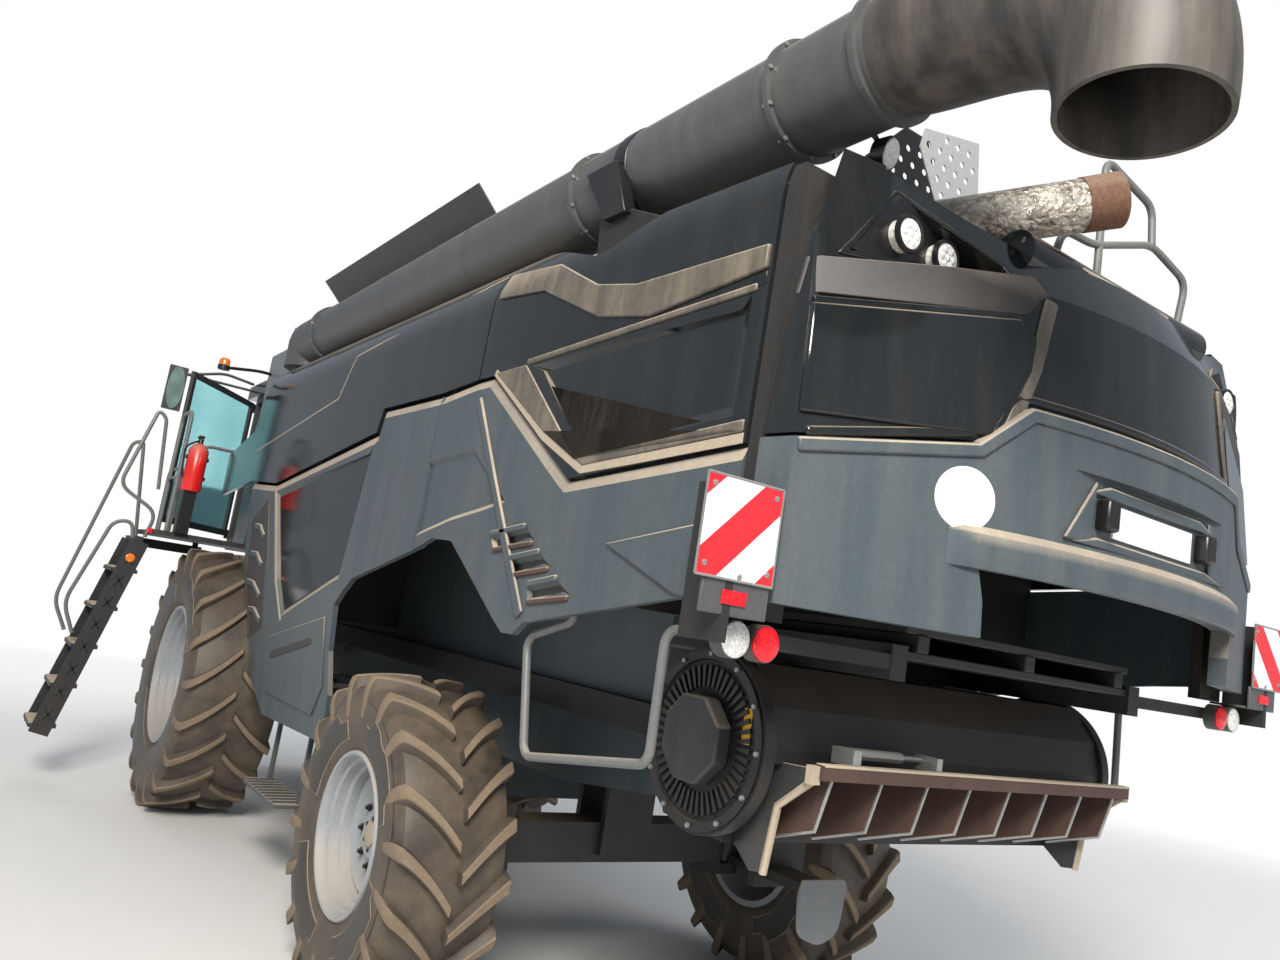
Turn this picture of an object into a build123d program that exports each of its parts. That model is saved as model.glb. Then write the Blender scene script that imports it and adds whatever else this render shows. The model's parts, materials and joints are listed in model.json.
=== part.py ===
"""Combine harvester, built as separate named pieces in millimetres.

Machine axes: X to the machine's left, Y rearward from the rear axle, Z up from the ground.
Every piece is drawn in these axes and shifted at the end, so that the origin lies below the
middle of the whole machine's box, on the ground.
"""

import os
from math import cos, pi, radians, sin, sqrt

from build123d import *

# Wheels: radius over the lugs, tyre width, rim radius, middle of the tyre across the machine
FRONT_WHEEL = {"y": -3920, "radius": 1030, "width": 710, "rim": 547, "centre": 1405, "lugs": 20}
REAR_WHEEL = {"y": 90, "radius": 776, "width": 560, "rim": 390, "centre": 1305, "lugs": 18}
LUG_HEIGHT = 48
LUG_TOP = 46
LUG_FOOT = 74
LUG_SWEEP = 0.86
FLANGE = 14
FLANGE_RISE = 26
SEAT_GAP = 0.5
RIM_WALL = 9
RIM_SHARE = 0.9
RUNNING_GAP = 0.4

# Axles
FRONT_SPINDLE_R = 90
REAR_SPINDLE_R = 60
HUB_WALL = 60
KINGPIN_X = 860
KINGPIN_R = 40
KNUCKLE_R = 80
KNUCKLE_HALF = 115
YOKE_GAP = 6
YOKE_EAR = 60
AXLE_HALF_DEPTH = 110
AXLE_Y = REAR_WHEEL["y"]
AXLE_HALF = KINGPIN_X - 120
BEAM_HALF_HEIGHT = 110
BEAM_HALF_DEPTH = 115
FINAL_DRIVE_R = 280

# Body
HOUSING_HALF = 700
SHOE_HALF = 540
RAIL = 80
RAIL_LOW = 1510
RAIL_TOP = 1640
CARRIER_TOP = 2 * FRONT_WHEEL["radius"] + 50
OUTRIGGER = (1910, 2030)
FLOOR_PLATE = 40
HOUSING_FRONT = -3300
HOUSING_REAR = 1700
HOUSING_TOP = 2500
TANK_HALF = 840
TANK_FRONT = -3400
TANK_REAR = -450
TANK_TOP = 3980
TANK_WALL = 20
TANK_KNEE = 3000
TANK_FLAT = 300
LID_LENGTH = 580
LID_ANGLE = 44
LID_THICK = 12
DECK_HALF = 1000
DECK_TOP = 3400

# Outer skin of the body, as (x, z) of the left side
SILL = (1335, 700)
KNEE = (1480, 1900)
WAIST = (1480, 2500)
SHOULDER = (1466, 3360)
CREST = (1330, 3640)
CROWN = (1230, 3700)
SKIN = 30
SEAM = 12
DOOR_SEAM = 20
RIB_GAP = 8
RIB = 40
RIB_TAB = 0.3
BULKHEAD = -3540
BULKHEAD_TOP = 3500
MID_RIBS = (120, 1580)
ARCH_TOP = 2250
TANK_RIB = -1920
REAR_RIB = 2560
REAR_FACE = 2612
PANEL_PIN_R = 8
PIN_GAP = 0.3
PIN_DEPTH = 40
PANEL_PIN_DROP = 20
DISH_DEPTH = 18
BEVEL = 46
BEVEL_DEPTH = 18

# Unloading tube
TUBE_R = 210
TUBE_WALL = 6
TUBE_FOOT = (1200, -3560)
TUBE_FRONT_Z = 3885
TUBE_REAR = (1108, 2650, 3998)
TUBE_BASE_Z = 3655
TUBE_BASE_R = 150

# Chute sections: run behind the tube's end, rise, downward turn, half width, half depth
SPOUT = [
    (0, 0, 0, 210, 210),
    (290, -10, 22, 238, 245),
    (700, -150, 52, 240, 250),
    (860, -540, 88, 235, 215),
]
SPOUT_WALL = 16

# Feeder house
FEEDER_HALF = HOUSING_HALF - 50
FEEDER_WALL = 25
FEEDER_OUTLINE = [
    (-3420, 2050),
    (-3420, 1560),
    (-5950, 520),
    (-6150, 560),
    (-6150, 1240),
    (-6000, 1290),
]
FEEDER_PIVOT = (-3450, 2000)
LIFT_X = 400
LIFT_PIN_R = 22
LIFT_ROD_R = 32
BARREL_R = 55
BARREL_LENGTH = 760
LUG_R = 45
LUG_HALF = 12
LIFT_BASE = (-4110, 860)
LIFT_EYE = (-5350, 640)

# Cab
CAB_HALF = 1050
CAB_FRONT = -5950
CAB_BACK = -4350
CAB_FLOOR = CARRIER_TOP + FLOOR_PLATE
CAB_FLOOR_THICK = 50
CAB_ROOF = CAB_FLOOR + 1550
ROOF_THICK = 190
ROOF_OVERHANG = 60
PILLAR = 60
DOOR_LENGTH = 1290
DOOR_THICK = 34
DOOR_GAP = 12
DOOR_OPEN = 38
DOOR_HINGE = (CAB_HALF + DOOR_GAP + 20, CAB_FRONT + 45)
DOOR_PIN_R = 10
GLASS = 8

# Platform and ladder
PLATFORM_X = 2000
PLATFORM_FRONT = -5150
PLATFORM_BACK = -3960
LADDER_PIVOT = (1500, -5080)
LADDER_PIN_R = 25
LADDER_Y = (-5000, -4480)
LADDER_HEAD = (2050, 2040)
LADDER_FOOT = (2460, 400)
STRINGER = 12
STRINGER_WIDTH = 150
STEPS = 5
RAIL_TUBE_R = 17

# Tail
BUMPER_WALL = 60
LAMP_R = 56
PLATE = 282
NUMBER_PLATE = (520, 110)
CHOPPER_HALF = 1000

PIECES = {}


def keep(name, shape):
    """Names a finished piece."""
    PIECES[name] = shape


def mirrored(shape):
    """The same shape on the machine's right."""
    return mirror(shape, about=Plane.YZ)


def both(shape):
    """A left piece and its right twin, as separate solids."""
    return Compound(list(shape.solids()) + list(mirrored(shape).solids()))


def box(x, y, z):
    """A block from its low and high corner, given as three pairs."""
    size = [pair[1] - pair[0] for pair in (x, y, z)]
    return Pos(*[(pair[0] + pair[1]) / 2 for pair in (x, y, z)]) * Box(*size)


def lift(axis, point, level):
    """A point of an outline drawn square to an axis, in space."""
    a, b = point
    return {"x": (level, a, b), "y": (a, level, b), "z": (a, b, level)}[axis]


def prism(axis, points, start, end):
    """An outline in the two other axes, stretched along an axis."""
    wire = Wire.make_polygon([Vector(*lift(axis, p, start)) for p in points], close=True)
    way = Vector(*lift(axis, (0, 0), end - start))
    return Solid.extrude(Face(wire), way)


def rod(start, end, radius):
    """A round bar between two points."""
    way = Vector(*end) - Vector(*start)
    return Solid.make_cylinder(radius, way.length, Plane(origin=start, z_dir=way))


def ring(start, end, radius, bore):
    """A round bar with a hole along it."""
    return rod(start, end, radius) - rod(start, end, bore)


def bent_bar(points, radius, bend):
    """A round bar that follows straight runs joined by arcs."""
    path = FilletPolyline(*points, radius=bend)
    return sweep(Plane(origin=path @ 0, z_dir=path % 0) * Circle(radius), path=path)


def bow_radius():
    """Radius of the skin's upper bow, which leaves the shoulder upright and passes the crest."""
    run, rise = SHOULDER[0] - CREST[0], CREST[1] - SHOULDER[1]
    return (run * run + rise * rise) / (2 * run)


def side_x(z):
    """Where the outer skin lies at a height."""
    for (low_x, low), (high_x, high) in ((SILL, KNEE), (KNEE, WAIST), (WAIST, SHOULDER)):
        if z <= high:
            return low_x + (high_x - low_x) * (z - low) / (high - low)
    radius = bow_radius()
    return SHOULDER[0] - radius + sqrt(radius**2 - (z - SHOULDER[1]) ** 2)


def side_edges(shift, y):
    """The body's side line at one station, moved inward by a shift."""
    middle = (SHOULDER[1] + CREST[1]) / 2
    bow = (side_x(middle), middle)
    points = (SILL, KNEE, WAIST, SHOULDER, bow, CREST, CROWN)
    sill, knee, waist, shoulder, bow, crest, crown = [Vector(x - shift, y, z) for x, z in points]
    return [
        Edge.make_line(sill, knee),
        Edge.make_line(knee, waist),
        Edge.make_line(waist, shoulder),
        Edge.make_three_point_arc(shoulder, bow, crest),
        Edge.make_line(crest, crown),
    ]


def side_shell(outer, inner, start, end):
    """The strip between two inward shifts of the side line, stretched along the machine."""
    near = side_edges(outer, start)
    far = side_edges(inner, start)
    closing = [
        Edge.make_line(near[-1] @ 1, far[-1] @ 1),
        Edge.make_line(near[0] @ 0, far[0] @ 0),
    ]
    return Solid.extrude(Face(Wire(near + closing + far)), Vector(0, end - start, 0))


def turned(profile):
    """A solid of revolution about X from a closed profile of (x, radius)."""
    wire = Wire.make_polygon([Vector(x, 0, r) for x, r in profile], close=True)
    return revolve(Face(wire), Axis.X)


def polar(x, radius, angle):
    """A point about X, its angle counted from the top towards the rear."""
    return Vector(x, radius * sin(angle), radius * cos(angle))


def flat(*corners):
    """A flat face between corners."""
    return Face(Wire.make_polygon(corners, close=True))


def strip(near, far):
    """Triangles that join two rows of as many points."""
    faces = []
    for a, b, c, d in zip(near, near[1:], far[1:], far):
        faces += [flat(a, b, c), flat(a, c, d)]
    return faces


def tread_side(wheel, way, side):
    """One half of a lugged tyre: its faces, its middle feet and its bead corners.

    Each lug leaves the middle, crosses the shoulder and ends on the wall; its sweep is the
    angle by which the outer end runs past the middle, and the carcass between follows it.
    """
    half, top, rim_radius = wheel["width"] / 2, wheel["radius"], wheel["rim"]
    crown = top - LUG_HEIGHT
    pitch = 2 * pi / wheel["lugs"]
    tip = top / cos(LUG_TOP / 2 / top)
    inside = half * RIM_SHARE - FLANGE - SEAT_GAP
    bead = (rim_radius - FLANGE_RISE + SEAT_GAP) / cos(pitch / 2)
    stations = [
        {"foot": (12, crown), "top": (12, tip), "sweep": 0},
        {"foot": (half * 0.9, crown - 34), "top": (half * 0.94, top - 16), "sweep": 1},
        {"foot": (half * 0.975, crown - 70), "top": (half, top - 84), "sweep": 1.06},
    ]
    skew = way * pitch * LUG_SWEEP
    start = pi if side > 0 else pi + pitch / 2
    faces, middle, shoulder = [], [], []
    for k in range(wheel["lugs"] + 1):
        row = []
        for place in stations:
            angle = start + k * pitch + place["sweep"] * skew
            (foot_x, foot_r), (top_x, top_r) = place["foot"], place["top"]
            row.append([
                polar(side * foot_x, foot_r, angle - LUG_FOOT / 2 / top),
                polar(side * top_x, top_r, angle - LUG_TOP / 2 / top),
                polar(side * top_x, top_r, angle + LUG_TOP / 2 / top),
                polar(side * foot_x, foot_r, angle + LUG_FOOT / 2 / top),
            ])
        middle.append((row[0][0], row[0][3]))
        shoulder.append(row)
    rings = []
    for x, radius in ((half, crown * 0.45 + rim_radius * 0.55), (inside, rim_radius + 10), (inside, bead)):
        angles = [start + k * pitch + stations[-1]["sweep"] * skew for k in range(wheel["lugs"] + 1)]
        rings.append([polar(side * x, radius, angle) for angle in angles])
    for row, later, wall, wall_later in zip(shoulder, shoulder[1:], rings[0], rings[0][1:]):
        for near, far in zip(row, row[1:]):
            faces += strip(near, far)
        for near, far, near_later, far_later in zip(row, row[1:], later, later[1:]):
            faces += strip([near[3], near_later[0]], [far[3], far_later[0]])
        for end in (row[0], row[-1]):
            faces += [flat(end[0], end[1], end[2]), flat(end[0], end[2], end[3])]
        faces += [flat(row[-1][0], row[-1][3], wall)]
        faces += strip([row[-1][3], later[-1][0]], [wall, wall_later])
    for near, far in zip(rings, rings[1:]):
        faces += strip(near, far)
    return faces, middle, rings[-1]


def tyre(wheel, way):
    """A lugged tyre about X; way is +1 where the lugs' middles point up at the rear."""
    faces, left, left_bead = tread_side(wheel, way, 1)
    more, right, right_bead = tread_side(wheel, way, -1)
    faces += more
    for k in range(wheel["lugs"]):
        before = right[k - 1] if k else right[wheel["lugs"] - 1]
        here, later, across = left[k], left[k + 1], right[k]
        faces += [
            flat(here[0], here[1], before[1]),
            flat(here[1], before[1], across[0]),
            flat(here[1], across[0], across[1]),
            flat(here[1], later[0], across[1]),
            flat(left_bead[k], left_bead[k + 1], right_bead[k]),
            flat(right_bead[k], right_bead[k + 1], left_bead[k + 1]),
        ]
    return Solid(Shell(faces))


def rim(wheel, spindle, disc, hub_start, hub_end):
    """A rim, its disc and its hub about X with the tyre's middle at x = 0."""
    half = wheel["width"] / 2 * RIM_SHARE
    top = wheel["rim"]
    bed = top - FLANGE_RISE
    under = bed - RIM_WALL
    hub = spindle + HUB_WALL
    bore = spindle + RUNNING_GAP
    cap = hub_end + 14
    profile = [
        (-half, top),
        (-half + FLANGE, top),
        (-half + FLANGE, bed),
        (half - FLANGE, bed),
        (half - FLANGE, top),
        (half, top),
        (half, under),
        (disc + 60, under - 30),
        (disc + 24, under - 90),
        (disc + 24, hub),
        (cap, hub - 10),
        (cap, 0),
        (hub_end, 0),
        (hub_end, bore),
        (hub_start, bore),
        (hub_start, hub),
        (disc, hub),
        (disc, under - 60),
        (disc + 20, under - 10),
        (-half + 60, under - 10),
        (-half, under),
    ]
    return turned(profile)


def wheels():
    """Four wheels, each a tyre and a rim."""
    front = (FRONT_WHEEL, FRONT_SPINDLE_R, "front", 20, -60, 80, 1)
    rear = (REAR_WHEEL, REAR_SPINDLE_R, "rear", 60, -270, 100, -1)
    for wheel, spindle, end, disc, hub_start, hub_end, way in (front, rear):
        place = Pos(wheel["centre"], wheel["y"], wheel["radius"])
        rubber = place * tyre(wheel, way)
        metal = place * rim(wheel, spindle, disc, hub_start, hub_end)
        keep(f"tyre_{end}_left", rubber)
        keep(f"tyre_{end}_right", mirrored(rubber))
        keep(f"rim_{end}_left", metal)
        keep(f"rim_{end}_right", mirrored(metal))


def front_axle():
    """Fixed driving axle with its final drives, spindles and the lift cylinders' ears."""
    y, z = FRONT_WHEEL["y"], FRONT_WHEEL["radius"]
    shape = box((-850, 850), (y - BEAM_HALF_DEPTH, y + BEAM_HALF_DEPTH), (z - BEAM_HALF_HEIGHT, z + BEAM_HALF_HEIGHT))
    base_y, base_z = LIFT_BASE
    for side in (1, -1):
        inner = side * (HOUSING_HALF + RAIL + 20)
        shape += rod((inner, y, z), (side * 1330, y, z), FINAL_DRIVE_R)
        shape += rod((side * 1330, y, z), (side * (FRONT_WHEEL["centre"] + 75), y, z), FRONT_SPINDLE_R)
        for near in (-60, 25):
            x = side * LIFT_X + near
            shape += box((x, x + 35), (base_y - 50, y - BEAM_HALF_DEPTH), (base_z - 60, z))
        shape += rod((side * LIFT_X - 60, *LIFT_BASE), (side * LIFT_X + 60, *LIFT_BASE), LIFT_PIN_R)
    keep("front_axle", shape)


def rear_axle():
    """Steered axle beam with a yoke and kingpin at each end, hung under the body."""
    z = REAR_WHEEL["radius"]
    ear_in = KNUCKLE_HALF + YOKE_GAP
    ear_out = ear_in + YOKE_EAR
    shape = box((-AXLE_HALF, AXLE_HALF), (-AXLE_HALF_DEPTH, AXLE_HALF_DEPTH), (z - 105, z + 105))
    for side in (1, -1):
        x = side * KINGPIN_X
        inner = side * (KINGPIN_X - KNUCKLE_R - 25)
        back = side * (KINGPIN_X - KNUCKLE_R - 95)
        shape += box(sorted((back, inner)), (-90, 90), (z - ear_out, z + ear_out))
        for low, high in ((z + ear_in, z + ear_out), (z - ear_out, z - ear_in)):
            shape += box(sorted((back, x)), (-90, 90), (low, high))
            shape += rod((x, 0, low), (x, 0, high), 90)
        shape += rod((x, 0, z - ear_out), (x, 0, z + ear_out), KINGPIN_R)
    shape += box((-160, 160), (-AXLE_HALF_DEPTH - 40, -AXLE_HALF_DEPTH), (z - 60, 1120))
    shape += box((-160, 160), (AXLE_HALF_DEPTH, AXLE_HALF_DEPTH + 40), (z - 60, 1120))
    keep("rear_axle", Pos(0, AXLE_Y, 0) * shape)


def knuckle():
    """Left steering knuckle with its spindle and arm."""
    z = REAR_WHEEL["radius"]
    shape = rod((KINGPIN_X, 0, z - KNUCKLE_HALF), (KINGPIN_X, 0, z + KNUCKLE_HALF), KNUCKLE_R)
    shape += rod((KINGPIN_X, 0, z), (REAR_WHEEL["centre"] + 95, 0, z), REAR_SPINDLE_R)
    shape += rod((KINGPIN_X + 70, 0, z), (KINGPIN_X + 125, 0, z), 110)
    shape += box((KINGPIN_X - 35, KINGPIN_X + 35), (50, 270), (z - KNUCKLE_HALF, z - KNUCKLE_HALF + 35))
    shape -= rod((KINGPIN_X, 0, z - 200), (KINGPIN_X, 0, z + 200), KINGPIN_R + RUNNING_GAP)
    shape = Pos(0, AXLE_Y, 0) * shape
    keep("knuckle_left", shape)
    keep("knuckle_right", mirrored(shape))


def main_frame():
    """Side rails, axle uprights, cab carriers, rear outriggers and the hitch."""
    side = HOUSING_HALF + RAIL
    y = FRONT_WHEEL["y"]
    axle_top = FRONT_WHEEL["radius"] + BEAM_HALF_HEIGHT
    parts = [
        box((HOUSING_HALF, side), (y - 140, HOUSING_REAR), (RAIL_LOW, RAIL_TOP)),
        box((HOUSING_HALF, side), (y - 110, y + 110), (axle_top, RAIL_LOW)),
        box((HOUSING_HALF, side), (y - 140, y - 40), (RAIL_TOP, CARRIER_TOP - 80)),
        box((HOUSING_HALF, side), (CAB_FRONT + 150, HOUSING_FRONT + 200), (CARRIER_TOP - 80, CARRIER_TOP)),
        box((HOUSING_HALF, side), (1400, REAR_FACE), OUTRIGGER),
    ]
    left = parts[0]
    for piece in parts[1:]:
        left += piece
    keep("main_frame", both(left))
    hitch = box((-150, 150), (HOUSING_REAR - 300, HOUSING_REAR - 260), (900, 1250))
    hitch += box((-90, 90), (HOUSING_REAR - 260, HOUSING_REAR + 10), (940, 980))
    hitch -= rod((0, HOUSING_REAR - 60, 900), (0, HOUSING_REAR - 60, 1000), 20)
    keep("rear_hitch", hitch)


def separator_housing():
    """Threshing and separating body over the narrow cleaning shoe."""
    upper = [
        (HOUSING_FRONT, 1500),
        (HOUSING_FRONT, HOUSING_TOP),
        (HOUSING_REAR, HOUSING_TOP),
        (HOUSING_REAR, 1500),
    ]
    lower = [
        (-3000, 820),
        (HOUSING_FRONT, 1050),
        (HOUSING_FRONT, 1500),
        (HOUSING_REAR - 300, 1500),
        (HOUSING_REAR - 300, 1250),
        (AXLE_Y + 200, 1120),
        (-450, 1120),
        (-700, 820),
    ]
    shape = prism("x", upper, -HOUSING_HALF, HOUSING_HALF)
    shape += prism("x", lower, -SHOE_HALF, SHOE_HALF)
    keep("separator_housing", shape)


def grain_tank():
    """Open hopper of bolted sheets with hinge ears, and the ridge beam along its middle."""
    w, seam = TANK_WALL, SEAT_GAP
    front, rear = TANK_FRONT + w, TANK_REAR - w
    outline = [
        (-TANK_HALF, TANK_TOP),
        (-TANK_HALF, TANK_KNEE),
        (-TANK_FLAT, HOUSING_TOP),
        (TANK_FLAT, HOUSING_TOP),
        (TANK_HALF, TANK_KNEE),
        (TANK_HALF, TANK_TOP),
    ]
    sheets = [
        prism("y", outline, TANK_FRONT, front),
        prism("y", outline, rear, TANK_REAR),
        box((-TANK_FLAT, TANK_FLAT), (front + seam, rear - seam), (HOUSING_TOP, HOUSING_TOP + w)),
    ]
    slope = [
        (TANK_FLAT + seam, HOUSING_TOP + seam),
        (TANK_HALF - 2 * seam, TANK_KNEE - seam),
        (TANK_HALF - 1.5 * w, TANK_KNEE - seam),
        (TANK_FLAT + seam, HOUSING_TOP + w + seam),
    ]
    wall = box((TANK_HALF - w, TANK_HALF), (front + seam, rear - seam), (TANK_KNEE, TANK_TOP))
    pin = (TANK_HALF + 20, TANK_TOP + 20)
    for y in (TANK_FRONT + 300, TANK_REAR - 300):
        wall += box((TANK_HALF, pin[0] + 18), (y - 40, y + 40), (TANK_TOP - 60, TANK_TOP))
        wall += rod((pin[0], y - 40, pin[1]), (pin[0], y + 40, pin[1]), 9)
        wall += box((pin[0] - 9, pin[0] + 9), (y - 40, y - 25), (TANK_TOP, pin[1]))
        wall += box((pin[0] - 9, pin[0] + 9), (y + 25, y + 40), (TANK_TOP, pin[1]))
    for piece in (prism("y", slope, front + seam, rear - seam), wall):
        sheets += list(both(piece).solids())
    keep("grain_tank", Compound(sheets))
    keep("tank_ridge", box((-TANK_FLAT, TANK_FLAT), (front, rear), (TANK_TOP - 40, TANK_TOP)))


def tank_lids():
    """Two flaps hinged on the tank's long edges, standing open as the hopper's extension."""
    x0, z0 = TANK_HALF + 20, TANK_TOP + 20
    lid = box((16, LID_LENGTH), (TANK_FRONT + 20, TANK_REAR - 20), (-LID_THICK / 2, LID_THICK / 2))
    for y in (TANK_FRONT + 300, TANK_REAR - 300):
        lid += box((0, 40), (y - 20, y + 20), (-LID_THICK / 2, LID_THICK / 2))
        lid += rod((0, y - 20, 0), (0, y + 20, 0), 16)
        lid -= rod((0, y - 60, 0), (0, y + 60, 0), 9 + PIN_GAP)
    left = Pos(x0, 0, z0) * Rot(0, -LID_ANGLE, 0) * lid
    keep("tank_lid_left", left)
    keep("tank_lid_right", mirrored(left))


def framed(outline, y, thick, gap):
    """A cross rib cut back from the skin by a gap, on both sides of the machine."""
    plate = prism("y", outline, y, y + thick)
    waste = side_shell(-200, SKIN + gap, y - 5, y + thick + 5)
    return plate - waste - mirrored(waste)


def body_frames():
    """Cross ribs that carry the skin, with the engine deck between them."""
    out = WAIST[0] + 20
    low = RAIL_TOP + 60
    slope = HOUSING_TOP + (HOUSING_HALF - 300) / (TANK_HALF - 300) * (3000 - HOUSING_TOP)
    shape = box((-DECK_HALF, DECK_HALF), (TANK_REAR, REAR_RIB), (DECK_TOP - 30, DECK_TOP))
    legs = [
        (-out, low),
        (-HOUSING_HALF, low),
        (-HOUSING_HALF, HOUSING_TOP),
        (HOUSING_HALF, HOUSING_TOP),
        (HOUSING_HALF, low),
        (out, low),
        (out, 3080),
        (DECK_HALF, 3080),
        (DECK_HALF, DECK_TOP - 30),
        (-DECK_HALF, DECK_TOP - 30),
        (-DECK_HALF, 3080),
        (-out, 3080),
    ]
    over_wheel = [(x, max(z, ARCH_TOP)) for x, z in legs]
    shape += framed(over_wheel, MID_RIBS[0], RIB, RIB_GAP)
    low = OUTRIGGER[1]
    above = [(x, max(z, low)) for x, z in legs]
    shape += framed(above, MID_RIBS[1], RIB, RIB_GAP)
    post = WAIST[0] - 190
    tail = [
        (-out, low),
        (-post, low),
        (-post, 2500),
        (post, 2500),
        (post, low),
        (out, low),
        (out, 3480),
        (-out, 3480),
    ]
    shape += framed(tail, REAR_RIB, REAR_FACE - REAR_RIB, 4 - SKIN)
    for start, end in hood_side_axis("rear"):
        shape += rod(start, end, PANEL_PIN_R)
        shape += mirrored(rod(start, end, PANEL_PIN_R))
    keep("body_frames", shape)
    low = RAIL_TOP + 60
    wing = [
        (HOUSING_HALF, low),
        (HOUSING_HALF, slope),
        (TANK_HALF, 3000),
        (TANK_HALF, 3500),
        (out, 3500),
        (out, low),
    ]
    rib = framed(wing, TANK_RIB, RIB, RIB_GAP)
    keep("tank_ribs", both(rib))
    front = [(-out, CARRIER_TOP), (out, CARRIER_TOP), (out, BULKHEAD_TOP), (-out, BULKHEAD_TOP)]
    wall = framed(front, BULKHEAD, RIB, RIB_GAP)
    start, end = lower_panel_axis()
    arm = box((1380, start[0] + 12), (BULKHEAD, BULKHEAD + RIB), (start[2] - 20, start[2] + 14))
    arm += rod(along(start, end, -20), along(start, end, PIN_DEPTH - 4), PANEL_PIN_R)
    keep("bulkhead", wall + arm + mirrored(arm))


def along(start, end, distance):
    """A point at a distance from the start of a line towards its end."""
    a, b = Vector(*start), Vector(*end)
    return tuple(a + (b - a).normalized() * distance)


def lower_panel_axis():
    """Pivot line of the left lower panel, front to rear."""
    points = []
    for y, z in ((LOWER_PANEL[0][0], LOWER_PANEL[0][1] - 60), (LOWER_PANEL_REAR, LOWER_PANEL_TOP - PANEL_PIN_DROP)):
        points.append((side_x(z) - SKIN / 2, y, z))
    return points


HOOD_AXIS_Z = 3420


def hood_side_axis(end=None):
    """Pivot line of the left hood side, front to rear, or a pin at one of its ends."""
    x = side_x(HOOD_AXIS_Z) - SKIN / 2
    front, rear = (x, HOOD_FRONT, HOOD_AXIS_Z), (x, HOOD_REAR, HOOD_AXIS_Z)
    if end == "rear":
        return [((x, HOOD_REAR - PIN_DEPTH + 4, HOOD_AXIS_Z), (x, REAR_RIB + 10, HOOD_AXIS_Z))]
    if end == "front":
        return [((x, HOOD_FRONT - SEAM - 10, HOOD_AXIS_Z), (x, HOOD_FRONT + PIN_DEPTH - 4, HOOD_AXIS_Z))]
    return front, rear


# Skin panels of the left side as (y, z), clockwise from the front top
LOWER_PANEL_REAR = 80
LOWER_PANEL_TOP = 2970
LOWER_PANEL = [
    (-3490, 2630),
    (-2800, 2590),
    (-788, 2830),
    (-748, LOWER_PANEL_TOP),
    (LOWER_PANEL_REAR, LOWER_PANEL_TOP),
    (LOWER_PANEL_REAR, 2165),
    (-720, 1985),
    (-970, 1820),
    (-1000, 1550),
    (-950, 1300),
    (-1010, 1020),
    (-2330, 980),
    (-2720, 1200),
    (-2750, 1330),
    (-3350, 2200),
]
HOOD_FRONT = 502
HOOD_REAR = 2545
UPPER_PANEL = [
    (-3620, 3630),
    (-2900, 3645),
    (-1500, 3680),
    (HOOD_FRONT - SEAM, 3700),
    (HOOD_FRONT - SEAM, 3012),
    (92, 2970 + DOOR_SEAM),
    (-768, 2970 + DOOR_SEAM),
    (-810, 2830 + DOOR_SEAM),
    (-2800, 2590 + DOOR_SEAM),
    (-3560, 2655),
    (-4550, 2560),
    (-4600, 2930),
    (-3860, 3090),
]
ARCH_PANEL = [
    (92, 2970),
    (500, 3000),
    (650, 3000),
    (1510, 2470),
    (2548, 2545),
    (2548, 2090),
    (2300, 2060),
    (1350, 1905),
    (1260, 1850),
    (1170, 1850),
    (530, 2220),
    (300, 2230),
    (92, 2168),
]
HOOD_SIDE = [
    (HOOD_FRONT, 3700),
    (1000, 3573),
    (1380, 3446),
    (1480, 3446),
    (1830, 3535),
    (HOOD_REAR, 3500),
    (HOOD_REAR, 2557),
    (1515, 2482),
    (655, 3012),
    (HOOD_FRONT, 3012),
]


# Shallow dishes pressed into the left skin, as (y, z); the points at the knee follow its fold
GLOSS_DISH = [(-2725, 2545), (-800, 2775), (-950, 1965), (-1184, KNEE[1]), (-2050, 1660), (-2233, KNEE[1])]
ARCH_DISH = [(-524, 2589), (-300, 2605), (597, 2663), (1033, 2394), (795, 2355), (469, 2310), (-550, 2100)]
HOOD_DISH = [(1000, 3020), (2480, 3060), (2480, 2640), (1570, 2570)]
LOUVRES = [
    [(928, 2247), (1250, 2288), (1355, 2228), (982, 2182)],
    [(1143, 2148), (1402, 2184), (1515, 2129), (1160, 2078)],
    [(1334, 2049), (1567, 2088), (1696, 2027), (1350, 1982)],
]


def inset(outline, margin):
    """The outline moved inward by a margin with mitred corners; it runs clockwise in (y, z)."""
    moved = []
    count = len(outline)
    for i in range(count):
        (ay, az), (by, bz), (cy, cz) = outline[i - 1], outline[i], outline[(i + 1) % count]
        first = Vector(by - ay, bz - az, 0).normalized()
        second = Vector(cy - by, cz - bz, 0).normalized()
        one, two = Vector(first.Y, -first.X, 0), Vector(second.Y, -second.X, 0)
        share = margin / (1 + one.dot(two))
        way = one + two
        moved.append((by + way.X * share, bz + way.Y * share))
    return moved


def dished(shape, outline, depth, margin):
    """A skin panel with a dish pressed in: a floor at a depth, and walls that slope in by a margin."""
    inner = inset(outline, margin)
    low = min(y for y, z in inner) - 1
    high = max(y for y, z in inner) + 1
    tools = [side_shell(-5, depth, low, high) & prism("x", inner, side_x(SILL[1]) - 200, WAIST[0] + 20)]
    ends = []
    for (y, z), (iy, iz) in zip(outline, inner):
        ends.append(Wire.make_polygon([
            Vector(side_x(z) + 4, y, z),
            Vector(side_x(iz) + 4, iy, iz),
            Vector(side_x(iz) - depth, iy, iz),
        ], close=True))
    for near, far in zip(ends, ends[1:] + ends[:1]):
        tools.append(Solid.make_loft([near, far], ruled=True))
    return max(shape.cut(*tools).solids(), key=lambda solid: solid.volume)


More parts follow.
